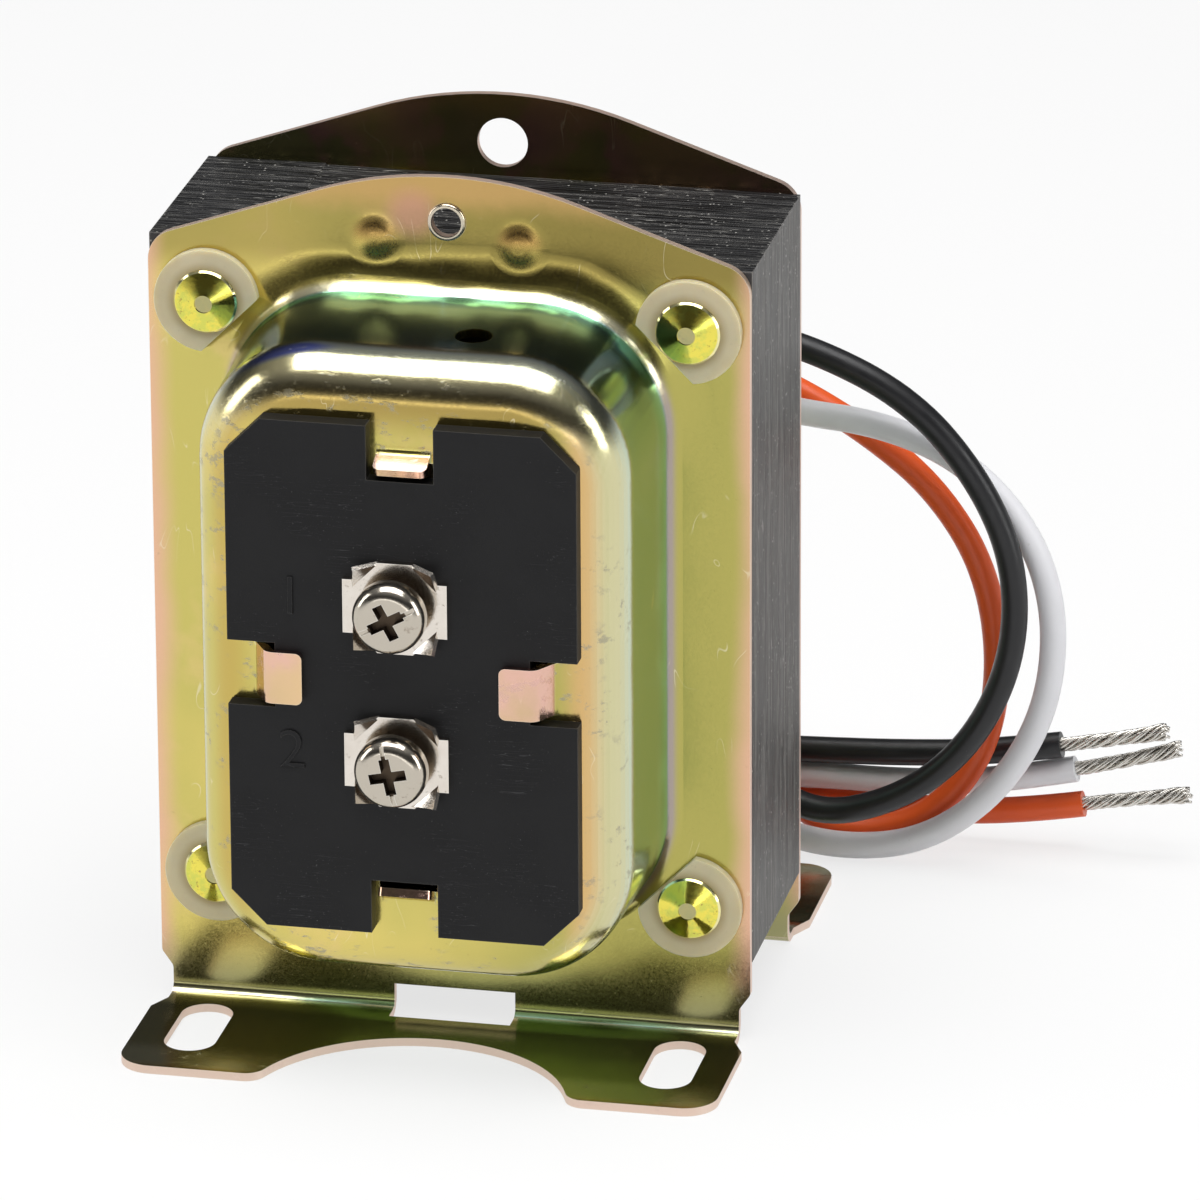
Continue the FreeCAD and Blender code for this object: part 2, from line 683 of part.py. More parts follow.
# The end bells: flange with domed top, drawn cup and slotted foot, pressed from one sheet
def add_flange(body, dome_rise):
    half, neck = flange_half, neck_half
    rise = size.dome_radius * (1 / cosine(size.dome_slope) - 1)
    apex = core_top + dome_rise + rise
    shoulder = apex - half * tangent(size.dome_slope)
    step_low = standing + size.neck_rise
    step_high = step_low + size.neck_slant
    sketch = new_sketch(body, "XZ_Plane", core_face)
    add_polygon(sketch, [
        (-neck, standing),
        (neck, standing),
        (neck, step_low),
        (half, step_high),
        (half, shoulder),
        (0, apex),
        (-half, shoulder),
        (-half, step_high),
        (-neck, step_low),
    ])
    pad(body, sketch, size.sheet)
    back, front = -core_face, -flange_front
    round_edges(body, size.dome_radius, (0, front, apex), (0, back, apex))
    for side in (-1, 1):
        x = half * side
        round_edges(body, size.shoulder_radius, (x, front, shoulder), (x, back, shoulder))
        round_edges(body, size.neck_corner, (x, front, step_high), (x, back, step_high))
        x = neck * side
        round_edges(body, size.neck_corner, (x, front, step_low), (x, back, step_low))


def add_foot(body):
    half, neck = core_side, neck_half
    edge = -(core_face + size.foot_reach)
    neck_end = -(core_face + size.neck_reach)
    slant_end = neck_end - size.neck_foot_slant
    top = standing + size.sheet
    sketch = new_sketch(body, "XY_Plane", standing)
    add_polygon(sketch, [
        (-neck, -core_face),
        (neck, -core_face),
        (neck, neck_end),
        (half, slant_end),
        (half, edge),
        (-half, edge),
        (-half, slant_end),
        (-neck, neck_end),
    ])
    pad(body, sketch, size.sheet)
    bend_inside, bend_outside = size.bend_radius, size.bend_radius + size.sheet
    round_edges(body, bend_inside, (-neck, -flange_front, top), (neck, -flange_front, top))
    round_edges(body, bend_outside, (-neck, -core_face, standing), (neck, -core_face, standing))
    for side in (-1, 1):
        corner = half * side
        round_edges(body, size.foot_corner, (corner, edge, standing), (corner, edge, top))
    middle = edge - size.scallop_offset
    sketch = new_sketch(body, "XY_Plane", standing)
    add_circle(sketch, 0, middle, size.scallop_radius * 2)
    pocket(body, sketch, size.sheet)
    reach = math.sqrt(float(size.scallop_radius) ** 2 - float(size.scallop_offset) ** 2)
    for side in (-1, 1):
        x = reach * side
        round_edges(body, size.scallop_corner, (x, edge, standing), (x, edge, top))
        sketch = new_sketch(body, "XY_Plane", standing)
        slot_middle = -(core_face + size.slot_reach)
        add_slot(sketch, slot_across * side, slot_middle, size.slot_width, size.slot_length)
        pocket(body, sketch, size.sheet)


def add_bend_window(body):
    top = standing + size.sheet + size.window_rise
    height = top - standing + BEYOND
    sketch = new_sketch(body, "XZ_Plane", core_face)
    add_rectangle(sketch, 0, top - height / 2, size.window_width, height)
    pocket(body, sketch, size.sheet + size.window_reach)


def add_cup(body):
    """Draws the cup out of the flange: outside first, then the hollow one sheet inside it."""
    wall = size.sheet
    width, height = cup_half_width * 2, cup_half_height * 2

    def draw(target, shrink, depth):
        """A sloping block with round corners, shrunk from the cup's outside."""
        sketch = new_sketch(target, "XZ_Plane", core_face)
        corner = size.cup_corner - shrink
        across, upright = width - shrink * 2, height - shrink * 2
        add_rounded_rectangle(sketch, 0, cup_middle, across, upright, corner)
        pad(target, sketch, depth, -size.cup_draft)

    def round_loop(target, radius, at):
        """Rounds the closed loop of edges at one depth."""
        low = (-width / 2, -at, cup_middle - height / 2)
        high = (width / 2, -at, cup_middle + height / 2)
        round_edges(target, radius, low, high)

    draw(body, 0, size.cup_depth)
    round_loop(body, size.cup_edge, cup_face)
    round_loop(body, size.cup_root, flange_front)
    hollow = new_body(f"{body.Label}_hollow")
    draw(hollow, wall, size.cup_depth - wall)
    round_loop(hollow, size.cup_edge - wall, cup_face - wall)
    cut = body.newObject("PartDesign::Boolean", f"{body.Label}_cut")
    cut.setObjects([hollow])
    cut.Type = "Cut"
    doc.recompute()
    round_loop(body, size.cup_root + wall, core_face)


def add_flange_holes(body, eye):
    sketch = new_sketch(body, "XZ_Plane", core_face)
    add_circle(sketch, 0, eye_middle, eye)
    pocket(body, sketch, size.sheet + size.front_eye_rim_rise)
    hole = size.washer_sleeve + size.fit_gap * 2
    add_corner_holes(body, (-1, 1), hole, core_face, size.sheet)


def add_vent(body):
    x = size.vent_offset
    y = -(core_face + size.vent_reach)
    sketch = new_sketch(body, "XY_Plane", cup_middle)
    add_circle(sketch, x, y, size.vent_hole)
    pocket(body, sketch, cup_half_height)


def add_dimples(body):
    """Two punched bumps beside the eye, hollow from behind."""
    height = core_top + size.dimple_height
    slope = slope_of((size.dimple_base - size.dimple_top) / 2, size.dimple_rise)
    for side in (-1, 1):
        x = size.dimple_pitch / 2 * side
        sketch = new_sketch(body, "XZ_Plane", flange_front)
        add_circle(sketch, x, height, size.dimple_base)
        pad(body, sketch, size.dimple_rise, -slope)
        top = flange_front + size.dimple_rise
        for edge, depth, radius in [
            (size.dimple_top / 2, top, size.dimple_top_round),
            (size.dimple_base / 2, flange_front, size.dimple_root_round),
        ]:
            low = (x - edge, -depth, height - edge)
            high = (x + edge, -depth, height + edge)
            round_edges(body, radius, low, high)
        sketch = new_sketch(body, "XZ_Plane", core_face)
        add_circle(sketch, x, height, size.dimple_base - size.sheet)
        pocket(body, sketch, size.dimple_rise, -slope)


def add_eye_rim(body):
    sketch = new_sketch(body, "XZ_Plane", flange_front)
    add_circle(sketch, 0, eye_middle, size.front_eye_rim)
    pad(body, sketch, size.front_eye_rim_rise)
    rim, top = size.front_eye_rim / 2, -(flange_front + size.front_eye_rim_rise)
    low, high = (-rim, top, eye_middle - rim), (rim, top, eye_middle + rim)
    round_edges(body, size.front_eye_rim_round, low, high)


def add_board_tabs(body):
    """Lances four tabs out of the cup's face, up through the board's notches and over it."""
    wall = size.sheet
    inner = cup_face - wall
    over = board_front + size.tab_gap
    top = over + wall
    access_x, access_z = size.access_width / 2, size.access_height / 2
    lance = size.tab_width / 2 + size.notch_gap
    side_root, end_root = side_tab_inside, end_tab_inside
    up, down = cup_middle + access_z, cup_middle - access_z
    left, right = -access_x, access_x
    sketch = new_sketch(body, "XZ_Plane", inner)
    add_polygon(sketch, [
        (left, down), (-lance, down), (-lance, cup_middle - end_root),
        (lance, cup_middle - end_root), (lance, down), (right, down),
        (right, cup_middle - lance), (side_root, cup_middle - lance),
        (side_root, cup_middle + lance), (right, cup_middle + lance),
        (right, up), (lance, up), (lance, cup_middle + end_root),
        (-lance, cup_middle + end_root), (-lance, up), (left, up),
        (left, cup_middle + lance), (-side_root, cup_middle + lance),
        (-side_root, cup_middle - lance), (left, cup_middle - lance),
    ])
    pocket(body, sketch, wall)
    half_tab = size.tab_width / 2
    low, high = cup_middle - half_tab, cup_middle + half_tab
    for side in (-1, 1):
        root, tip = side_tab_root * side, side_tab_tip * side
        back = (side_tab_inside + wall * side_tab_lean) * side
        hollow = (side_tab_inside - (over - cup_face) * side_tab_lean) * side
        crease = (side_tab_root - (top - cup_face) * side_tab_lean) * side
        sketch = new_sketch(body, "XY_Plane", low)
        add_polygon(sketch, [
            (root + wall * side, -inner), (back, -inner), (hollow, -over),
            (tip, -over), (tip, -top), (crease, -top),
            (root, -cup_face), (root + wall * side, -cup_face),
        ])
        pad(body, sketch, size.tab_width)
        round_edges(body, size.tab_bend, (crease, -top, low), (crease, -top, high))
        round_edges(body, size.tab_bend - wall, (hollow, -over, low), (hollow, -over, high))
        round_edges(body, size.tab_root_round, (root, -cup_face, low), (root, -cup_face, high))
        for z in (low, high):
            round_edges(body, size.tab_corner, (tip, -top, z), (tip, -over, z))
    tip_front = cup_face + end_tab_reach
    thick = wall * cosine(size.end_tab_slope)
    lip_front = tip_front - thick * end_tab_lean
    for side in (-1, 1):
        root = cup_middle + end_tab_root * side
        back = cup_middle + (end_tab_inside + wall * end_tab_lean) * side
        tip = cup_middle + end_tab_tip * side
        lip = cup_middle + (end_tab_tip - thick) * side
        sketch = new_sketch(body, "YZ_Plane", -half_tab)
        add_polygon(sketch, [
            (-inner, root + wall * side), (-inner, back), (-lip_front, lip),
            (-tip_front, tip), (-cup_face, root), (-cup_face, root + wall * side),
        ])
        pad(body, sketch, size.tab_width)
        root_ends = (-half_tab, -cup_face, root), (half_tab, -cup_face, root)
        round_edges(body, size.tab_root_round, *root_ends)
        lower, upper = (lip, tip) if side > 0 else (tip, lip)
        for x in (-half_tab, half_tab):
            round_edges(body, size.tab_corner, (x, -tip_front, lower), (x, -lip_front, upper))


def make_front_bell():
    body = new_body("front_bell")
    add_flange(body, size.dome_rise)
    add_foot(body)
    add_cup(body)
    add_bend_window(body)
    add_eye_rim(body)
    add_flange_holes(body, size.front_eye)
    add_dimples(body)
    add_vent(body)
    add_board_tabs(body)
    keep(body)


def make_rear_bell():
    """The same pressing turned round, with a lead hole in place of the board's opening."""
    body = new_body("rear_bell")
    add_flange(body, size.dome_rise + size.rear_dome_over)
    add_foot(body)
    add_cup(body)
    add_bend_window(body)
    add_flange_holes(body, size.rear_eye)
    sketch = new_sketch(body, "XZ_Plane", cup_face - size.sheet)
    add_circle(sketch, -size.bushing_across, bushing_middle, (bushing_body + size.fit_gap) * 2)
    pocket(body, sketch, size.sheet)
    keep(body, TURNED)


# The terminal board, its plates and its screws
def terminal_middle(end):
    return cup_middle + size.terminal_pitch / 2 * end


def make_terminal_board():
    body = new_body("terminal_board")
    half_width, half_height = board_half_width, board_half_height
    cut = size.board_corner
    sketch = new_sketch(body, "XZ_Plane", cup_face)
    right, left = half_width, -half_width
    top, bottom = cup_middle + half_height, cup_middle - half_height
    half_notch = size.notch_width / 2
    side_notch = side_tab_inside - size.board_thickness * side_tab_lean - size.notch_gap
    end_notch = end_tab_inside - size.board_thickness * end_tab_lean - size.end_notch_gap
    add_polygon(sketch, [
        (left + cut, top), (-half_notch, top), (-half_notch, cup_middle + end_notch),
        (half_notch, cup_middle + end_notch), (half_notch, top), (right - cut, top),
        (right, top - cut), (right, cup_middle + half_notch),
        (side_notch, cup_middle + half_notch), (side_notch, cup_middle - half_notch),
        (right, cup_middle - half_notch), (right, bottom + cut),
        (right - cut, bottom), (half_notch, bottom), (half_notch, cup_middle - end_notch),
        (-half_notch, cup_middle - end_notch), (-half_notch, bottom), (left + cut, bottom),
        (left, bottom + cut), (left, cup_middle - half_notch),
        (-side_notch, cup_middle - half_notch), (-side_notch, cup_middle + half_notch),
        (left, cup_middle + half_notch), (left, top - cut),
    ])
    pad(body, sketch, size.board_thickness)
    for end in (-1, 1):
        sketch = new_sketch(body, "XZ_Plane", cup_face)
        z = terminal_middle(end)
        add_circle(sketch, size.terminal_offset, z, neck_outside + size.fit_gap * 2)
        pocket(body, sketch, size.board_thickness)
    keep(body)


def folded_ear(side, up):
    """One corner of the plate turned up about its slanting fold line."""
    x, z = float(size.plate_width) / 2, float(size.plate_height) / 2
    leg, thickness = float(size.ear_leg), float(size.ear_thickness)
    back = thickness - float(plate_front)
    fold_a = Vector(side * (x - leg), back, up * z)
    fold_b = Vector(side * x, back, up * (z - leg))
    tip = Vector(side * x, back, up * z)
    ear = Part.Face(Part.makePolygon([fold_a, fold_b, tip, fold_a])).extrude(-DEPTH_AXIS * thickness)
    hinge = Vector(side, 0, up).cross(-DEPTH_AXIS)
    ear.rotate(fold_a, hinge, float(size.ear_turn))
    return ear


def make_terminal_plate(label, end):
    """Plate with side wings, folded corner ears and a neck riveted through the board."""
    width, height = float(size.plate_width), float(size.plate_height)
    thickness = float(size.plate_thickness)
    leg = float(size.ear_leg)
    wing_width, wing_height = float(size.plate_wing_width), float(size.plate_wing_height)
    front, back = -float(plate_front), -float(board_front)
    half_x, half_z = width / 2, height / 2
    outline = [
        (-half_x + leg, half_z), (half_x - leg, half_z), (half_x, half_z - leg),
        (half_x, -half_z + leg), (half_x - leg, -half_z), (-half_x + leg, -half_z),
        (-half_x, -half_z + leg), (-half_x, half_z - leg), (-half_x + leg, half_z),
    ]
    points = [Vector(x, front, z) for x, z in outline]
    plate = Part.Face(Part.makePolygon(points)).extrude(Vector(0, thickness, 0))
    wing_corner = Vector(-wing_width / 2, front, -wing_height / 2)
    plate = plate.fuse(Part.makeBox(wing_width, thickness, wing_height, wing_corner))
    neck_start = Vector(0, back, 0)
    neck_length = float(size.board_thickness)
    neck = Part.makeCylinder(float(neck_outside) / 2, neck_length, neck_start, DEPTH_AXIS)
    flare_start = Vector(0, -float(cup_face), 0)
    flare_length = float(size.neck_flare_thickness)
    flare = Part.makeCylinder(float(neck_flare) / 2, flare_length, flare_start, DEPTH_AXIS)
    plate = plate.fuse([neck, flare])
    for side in (-1, 1):
        for up in (-1, 1):
            plate = plate.fuse(folded_ear(side, up))
    bore_start = Vector(0, front, 0)
    bore_length = thickness + neck_length + flare_length
    bore = Part.makeCylinder(float(neck_bore) / 2, bore_length, bore_start, DEPTH_AXIS)
    plate = plate.cut(bore).removeSplitter()
    middle = Vector(float(size.terminal_offset), 0, float(terminal_middle(end)))
    keep_shape(label, plate, Placement(middle, Rotation()))


def make_terminal_screw(label, end, turn):
    """A pan-head screw, backed out a little, with a slot and a cross recess."""
    body = new_body(label)
    sketch = new_sketch(body, "XZ_Plane", screw_head_under)
    add_circle(sketch, 0, 0, size.screw_head)
    pad(body, sketch, size.screw_head_height)
    rim = size.screw_head / 2
    round_edges(body, size.screw_head_round, (-rim, -screw_top, -rim), (rim, -screw_top, rim))
    sketch = new_sketch(body, "XZ_Plane", screw_head_under - size.screw_length)
    add_circle(sketch, 0, 0, size.screw_thread)
    pad(body, sketch, size.screw_length)
    cuts = [
        (size.screw_head + BEYOND, size.drive_slot, size.drive_slot_depth),
        (size.cross_length, size.cross_width, size.cross_depth),
        (size.cross_width, size.cross_length, size.cross_depth),
    ]
    for across, upright, depth in cuts:
        sketch = new_sketch(body, "XZ_Plane", screw_top - depth)
        add_rectangle(sketch, 0, 0, across, upright)
        pocket(body, sketch, depth)
    middle = Vector(float(size.terminal_offset), 0, float(terminal_middle(end)))
    keep(body, Placement(middle, Rotation(DEPTH_AXIS, float(turn))))


# The rivets and their washers, four of each as one group
def corner_places():
    x, z = float(rivet_across), float(rivet_up)
    return [(side, up, Vector(side * x, 0, up * z)) for side in (-1, 1) for up in (-1, 1)]


def washer_flat():
    """How far a washer's flat side lies from its middle, so that it clears the root of the cup."""
    corner = float(size.cup_corner)
    across = float(rivet_across) - (float(cup_half_width) - corner)
    upright = float(rivet_up) - (float(cup_half_height) + float(size.cup_drop) - corner)
    to_wall = math.hypot(across, upright) - corner
    return to_wall - float(size.cup_root) - float(size.washer_gap)


def make_core_rivets():
    """Each rivet has a low cone for a head in front and a closed end behind."""
    body = new_body("rivet_form")
    seat = -(flange_front + size.washer_thickness)
    rim, rim_top = size.rivet_head / 2, seat - size.rivet_rim_height
    edge = rim - size.rivet_rim_round
    nub, cone_top = size.rivet_nub / 2, rim_top - size.rivet_cone_rise
    nub_top = cone_top + size.rivet_nub_drop
    shank = size.rivet_shank / 2
    tail, tail_rise = size.rivet_tail / 2, size.rivet_tail_height
    sketch = new_sketch(body, "XY_Plane")
    add_polygon(sketch, [
        (0, nub_top), (nub, nub_top), (nub, cone_top), (edge, rim_top),
        (rim, rim_top + size.rivet_rim_round), (rim, seat), (shank, seat),
        (shank, -seat), (tail, -seat), (tail, -seat + tail_rise / 2),
        (tail - tail_rise / 2, -seat + tail_rise), (0, -seat + tail_rise),
    ])
    revolve(body, sketch, "V_Axis")
    copies = [body.Shape.translated(place) for side, up, place in corner_places()]
    keep_shape("core_rivets", Part.makeCompound(copies))


def make_rivet_washers(label, placement=Placement()):
    """Shoulder washers, each with a flat side towards the cup's corner."""
    radius = float(size.washer_outside) / 2
    sleeve = float(size.washer_sleeve) / 2
    bore = float(size.rivet_shank) / 2 + float(size.fit_gap)
    front = -float(flange_front)
    thickness = float(size.washer_thickness)
    depth = float(size.washer_sleeve_depth)
    copies = []
    for side, up, place in corner_places():
        outer = Part.makeCylinder(radius, thickness, Vector(0, front - thickness, 0), DEPTH_AXIS)
        inward = Vector(-side, 0, -up)
        inward.normalize()
        flat = Part.makeBox(2 * radius, thickness, 2 * radius)
        flat.translate(Vector(washer_flat(), front - thickness, -radius))
        turn = Rotation(Vector(1, 0, 0), inward)
        flat.Placement = Placement(Vector(), turn) * flat.Placement
        shoulder = Part.makeCylinder(sleeve, depth, Vector(0, front, 0), DEPTH_AXIS)
        start = Vector(0, front - thickness, 0)
        hole = Part.makeCylinder(bore, thickness + depth, start, DEPTH_AXIS)
        washer = outer.cut(flat).fuse(shoulder).cut(hole).removeSplitter()
        washer.translate(place)
        copies.append(washer)
    keep_shape(label, Part.makeCompound(copies), placement)


# The bushing and the leads
def make_lead_bushing():
    body = new_body("lead_bushing")
    inner, through = bushing_inner, bushing_body
    flange = through + size.bushing_flange_over
    barb = through + size.bushing_barb_over
    outer_end = bushing_outside
    sheet_back = cup_face - size.sheet - size.fit_gap / 2
    barb_end = sheet_back - size.bushing_barb_length
    sketch = new_sketch(body, "XY_Plane")
    add_polygon(sketch, [
        (inner, barb_end), (through, barb_end), (barb, sheet_back), (through, sheet_back),
        (through, cup_face), (flange, cup_face), (flange, outer_end - size.fit_gap * 4),
        (flange - size.fit_gap * 4, outer_end), (inner, outer_end),
    ])
    revolve(body, sketch, "V_Axis")
    keep(body, Placement(Vector(float(size.bushing_across), 0, float(bushing_middle)), Rotation()))


def rounded_route(points):
    """Straight runs joined by tangent arcs, each as large as its two runs allow."""
    edges = []
    radii = []
    start = points[0]
    for before, corner, after in zip(points, points[1:], points[2:]):
        arriving = corner - before
        leaving = after - corner
        shorter = min(arriving.Length, leaving.Length)
        turn = arriving.getAngle(leaving)
        cut = 0.45 * shorter
        radii.append(cut / math.tan(turn / 2))
        arriving.normalize()
        leaving.normalize()
        arc_start = corner - arriving * cut
        arc_end = corner + leaving * cut
        bisector = leaving - arriving
        bisector.normalize()
        half_way = corner + bisector * (radii[-1] / math.cos(turn / 2) - radii[-1])
        edges.append(Part.LineSegment(start, arc_start).toShape())
        edges.append(Part.Arc(arc_start, half_way, arc_end).toShape())
        start = arc_end
    edges.append(Part.LineSegment(start, points[-1]).toShape())
    return Part.Wire(edges), radii


def make_tube(label, points, diameter):
    """A round tube along a route, with its volume checked against its length."""
    wire, radii = rounded_route(points)
    heading = points[1] - points[0]
    section = Part.Wire(Part.Circle(points[0], heading, diameter / 2).toShape())
    tube = wire.makePipeShell([section], True, True)
    expected = math.pi * diameter ** 2 / 4 * wire.Length
    if abs(tube.Volume - expected) > 0.01 * expected:
        raise ValueError(f"{label} has volume {tube.Volume:.0f}, not {expected:.0f}")
    smallest = min(radii)
    print(f"{label}: length {wire.Length:.1f} mm, smallest radius {smallest:.1f} mm")
    print("  radii", " ".join(f"{radius:.0f}" for radius in radii))
    keep_shape(label, tube)


# Where each lead lies in the bushing's bore (an angle), and where it starts on the coil (X, Z)
BUNDLE_ANGLES = {"black": -38.3, "white": 201.7, "orange": 81.7}
COIL_STARTS = {"black": (-6.6, -15.0), "white": (-12.1, -15.1), "orange": (-8.6, -7.4)}
# How far straight out of the rear cup each lead runs before it turns down
TURN_OUT = {"black": 5.1, "white": 8.1, "orange": 8.1}
# Each lead's bends as (X, out from the rear cup's face, up from the standing surface): down to that
# surface, one turn up the right side and over behind the rear bell, then out to the right. They are
# drawn for leads of this diameter, and grow with it
DRAWN_FOR = 2.9
LEAD_ROUTES = {
    "black": [
        (-3.6, 11.3, 29.6), (4.6, 11.2, 23.8), (12.0, 7.4, 17.8), (20.0, 3.7, 11.4),
        (28.5, 1.1, 5.9), (38.6, 0.9, 8.9), (46.3, 0.9, 15.8), (50.8, 0.9, 25.8),
        (51.0, 0.9, 36.8), (47.0, 0.9, 46.3), (39.5, 0.9, 55.0), (28.0, 1.3, 60.2),
        (16.5, 2.3, 61.8), (5.0, 3.2, 59.8), (-6.5, 4.3, 55.6), (-15.4, 5.9, 47.8),
        (-19.2, 7.9, 36.3), (-17.0, 9.9, 24.3), (-9.4, 11.1, 15.0), (2.0, 11.3, 10.4),
        (14.0, 11.2, 9.4), (26.1, 10.9, 9.9), (37.0, 10.5, 10.5), (46.5, 10.5, 11.3),
        (54.6, 10.5, 12.8),
    ],
    "white": [
        (-6.7, 14.3, 30.0), (1.2, 13.8, 23.4), (7.0, 9.9, 17.0), (13.8, 6.1, 9.4),
        (22.0, 4.2, 3.4), (31.0, 3.8, 1.5), (40.5, 3.9, 2.9), (48.6, 4.0, 9.2),
        (53.9, 4.0, 18.8), (55.0, 4.0, 29.8), (52.2, 4.0, 39.4), (45.0, 4.0, 47.2),
        (36.0, 4.0, 50.8), (26.0, 4.6, 51.4), (15.0, 5.7, 52.8), (4.0, 7.1, 55.0),
        (-7.5, 8.7, 54.0), (-17.5, 9.8, 47.8), (-23.0, 10.7, 36.8), (-21.4, 11.5, 23.3),
        (-13.2, 11.9, 12.0), (-1.0, 11.7, 6.6), (12.0, 11.4, 6.0), (25.9, 11.3, 6.9),
        (37.0, 11.3, 6.8), (47.0, 11.3, 7.6), (56.1, 11.3, 9.8),
    ],
    "orange": [
        (-4.8, 14.5, 32.5), (3.0, 14.7, 26.6), (10.4, 12.0, 20.4), (17.4, 8.3, 13.4),
        (23.8, 7.0, 6.2), (31.4, 6.9, 1.8), (40.6, 7.0, 4.4), (46.6, 7.1, 12.2),
        (48.4, 7.1, 22.8), (46.6, 7.1, 34.0), (41.2, 7.1, 42.6), (34.0, 7.2, 48.4),
        (25.5, 7.8, 53.0), (15.0, 8.9, 56.6), (4.0, 10.3, 58.2), (-8.5, 11.7, 56.6),
        (-20.0, 12.7, 49.8), (-27.0, 13.3, 37.8), (-25.4, 13.3, 21.8), (-16.4, 12.9, 9.0),
        (-3.5, 12.5, 2.9), (10.5, 12.2, 2.4), (26.1, 12.2, 3.9), (36.0, 12.2, 3.5),
        (47.2, 12.2, 3.5), (56.8, 12.2, 5.4),
    ],
}


def make_leads():
    diameter = float(size.lead_diameter)
    radius = float(bundle_radius)
    face = float(cup_face)
    growth = diameter / DRAWN_FOR
    inside = face - float(size.lead_turn_inside)
    for colour, bends in LEAD_ROUTES.items():
        angle = math.radians(BUNDLE_ANGLES[colour])
        x = float(size.bushing_across) + radius * math.cos(angle)
        z = float(bushing_middle) + radius * math.sin(angle)
        start_x, start_z = COIL_STARTS[colour]
        sideways = math.hypot(x - start_x, z - start_z)
        slant = math.atan2(sideways, inside - float(tape_outside))
        start_y = float(tape_outside) + diameter / 2 * math.sin(slant) + float(size.lead_end_gap)
        points = [
            Vector(start_x, start_y, start_z),
            Vector(x, inside, z),
            Vector(x, face + TURN_OUT[colour] * growth, z),
        ]
        points += [
            Vector(across * growth, face + out * growth, float(standing) + up * growth)
            for across, out, up in bends
        ]
        make_tube(f"{colour}_lead", points, diameter)
        heading = points[-1] - points[-2]
        strands = doc.addObject("Part::Cylinder", f"{colour}_lead_strands")
        strands.Label = f"{colour}_lead_strands"
        bind(strands, "Radius", size.strand_diameter / 2)
        bind(strands, "Height", size.strand_length)
        keep(strands, Placement(points[-1], Rotation(UP_AXIS, heading)))


def make_coil_wires():
    """Sleeved wires from the secondary's tape to the backs of the two terminals."""
    start, length = chamber(1)
    landing_x = float(start) + float(length) / 2
    terminal_y = -float(cup_face) + float(size.neck_flare_thickness)
    tape_y = -float(tape_outside)
    terminal_x = float(size.terminal_offset + (neck_flare + neck_bore) / 4)
    stub = (tape_y - terminal_y) / 3
    for name, end in (("upper", 1), ("lower", -1)):
        terminal_z = float(terminal_middle(end))
        landing_z = terminal_z - end * float(size.coil_wire_drop)
        points = [
            Vector(terminal_x, terminal_y, terminal_z),
            Vector(terminal_x, terminal_y + stub, terminal_z),
            Vector(landing_x, tape_y - stub, landing_z),
            Vector(landing_x, tape_y, landing_z),
        ]
        make_tube(f"{name}_terminal_wire", points, float(size.coil_wire))


def check_and_write():
    doc.recompute()
    for item in doc.Objects:
        if "Invalid" in item.State or "Error" in item.State:
            raise ValueError(f"{item.Name} is in state {item.State}")
    for item in finished:
        if item.Shape.isNull() or not item.Shape.isValid():
            raise ValueError(f"{item.Label} has no valid shape")
    os.makedirs("parts", exist_ok=True)
    for item in finished:
        item.Shape.exportStep(f"parts/{item.Label}.step")
    print(f"{len(finished)} sub-parts written; the core's centre is at {LIFT}")


make_e_laminations()
make_i_laminations()
make_bobbin()
make_winding("primary_winding", -1)
make_winding("secondary_winding", 1)
make_tape("primary_tape", -1)
make_tape("secondary_tape", 1)
make_liner("front_coil_liner")
make_liner("rear_coil_liner", TURNED)
make_front_bell()
make_rear_bell()
make_terminal_board()
make_terminal_plate("upper_terminal_plate", 1)
make_terminal_plate("lower_terminal_plate", -1)
make_terminal_screw("upper_terminal_screw", 1, size.upper_screw_turn)
make_terminal_screw("lower_terminal_screw", -1, size.lower_screw_turn)
make_core_rivets()
make_rivet_washers("front_rivet_washers")
make_rivet_washers("rear_rivet_washers", TURNED)
make_lead_bushing()
make_coil_wires()
make_leads()
check_and_write()
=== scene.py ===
import math

import bpy
from mathutils import Matrix, Vector


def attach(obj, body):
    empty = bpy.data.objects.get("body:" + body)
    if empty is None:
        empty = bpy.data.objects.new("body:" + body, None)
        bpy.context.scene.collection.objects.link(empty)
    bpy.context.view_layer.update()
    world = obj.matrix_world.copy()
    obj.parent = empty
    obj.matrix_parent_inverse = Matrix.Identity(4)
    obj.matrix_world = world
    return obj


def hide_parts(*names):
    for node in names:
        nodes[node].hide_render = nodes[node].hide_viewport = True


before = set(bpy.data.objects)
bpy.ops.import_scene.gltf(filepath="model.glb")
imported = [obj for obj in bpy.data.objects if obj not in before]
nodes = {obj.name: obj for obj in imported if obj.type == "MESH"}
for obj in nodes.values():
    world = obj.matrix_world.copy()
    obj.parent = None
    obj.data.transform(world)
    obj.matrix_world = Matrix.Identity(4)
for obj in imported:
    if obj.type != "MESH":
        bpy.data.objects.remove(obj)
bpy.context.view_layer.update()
MM = 0.001

# Places in the part's frame, in millimetres
CORE_MIDDLE = 46.8
CORE_MIDDLE_DEPTH = 2.75
REAR_FACE = 36.85
BOARD_FACE = -33.25
HEAD_TOP = -38.15
TERMINAL_ACROSS = -0.5
TERMINAL_UPRIGHT = 8.4
CUP_MIDDLE = 46.3
CUP_HALF_WIDTH = 23.2
CUP_HALF_HEIGHT = 34.6
CUP_CORNER = 13.5
FLANGE_DEPTH = 13.6
DIMPLE_ACROSS = 7.6
DIMPLE_HEIGHT = 86.3
EYE_HEIGHT = 88.55
RIVET_ACROSS = 25.4
RIVET_UPRIGHT = 31.74
LEAD_DIAMETER = 2.9
STRAND_LENGTH = 12.2


def mm(x, y, z):
    """A point given in millimetres in the part's frame."""
    return Vector((x * MM, y * MM, z * MM))


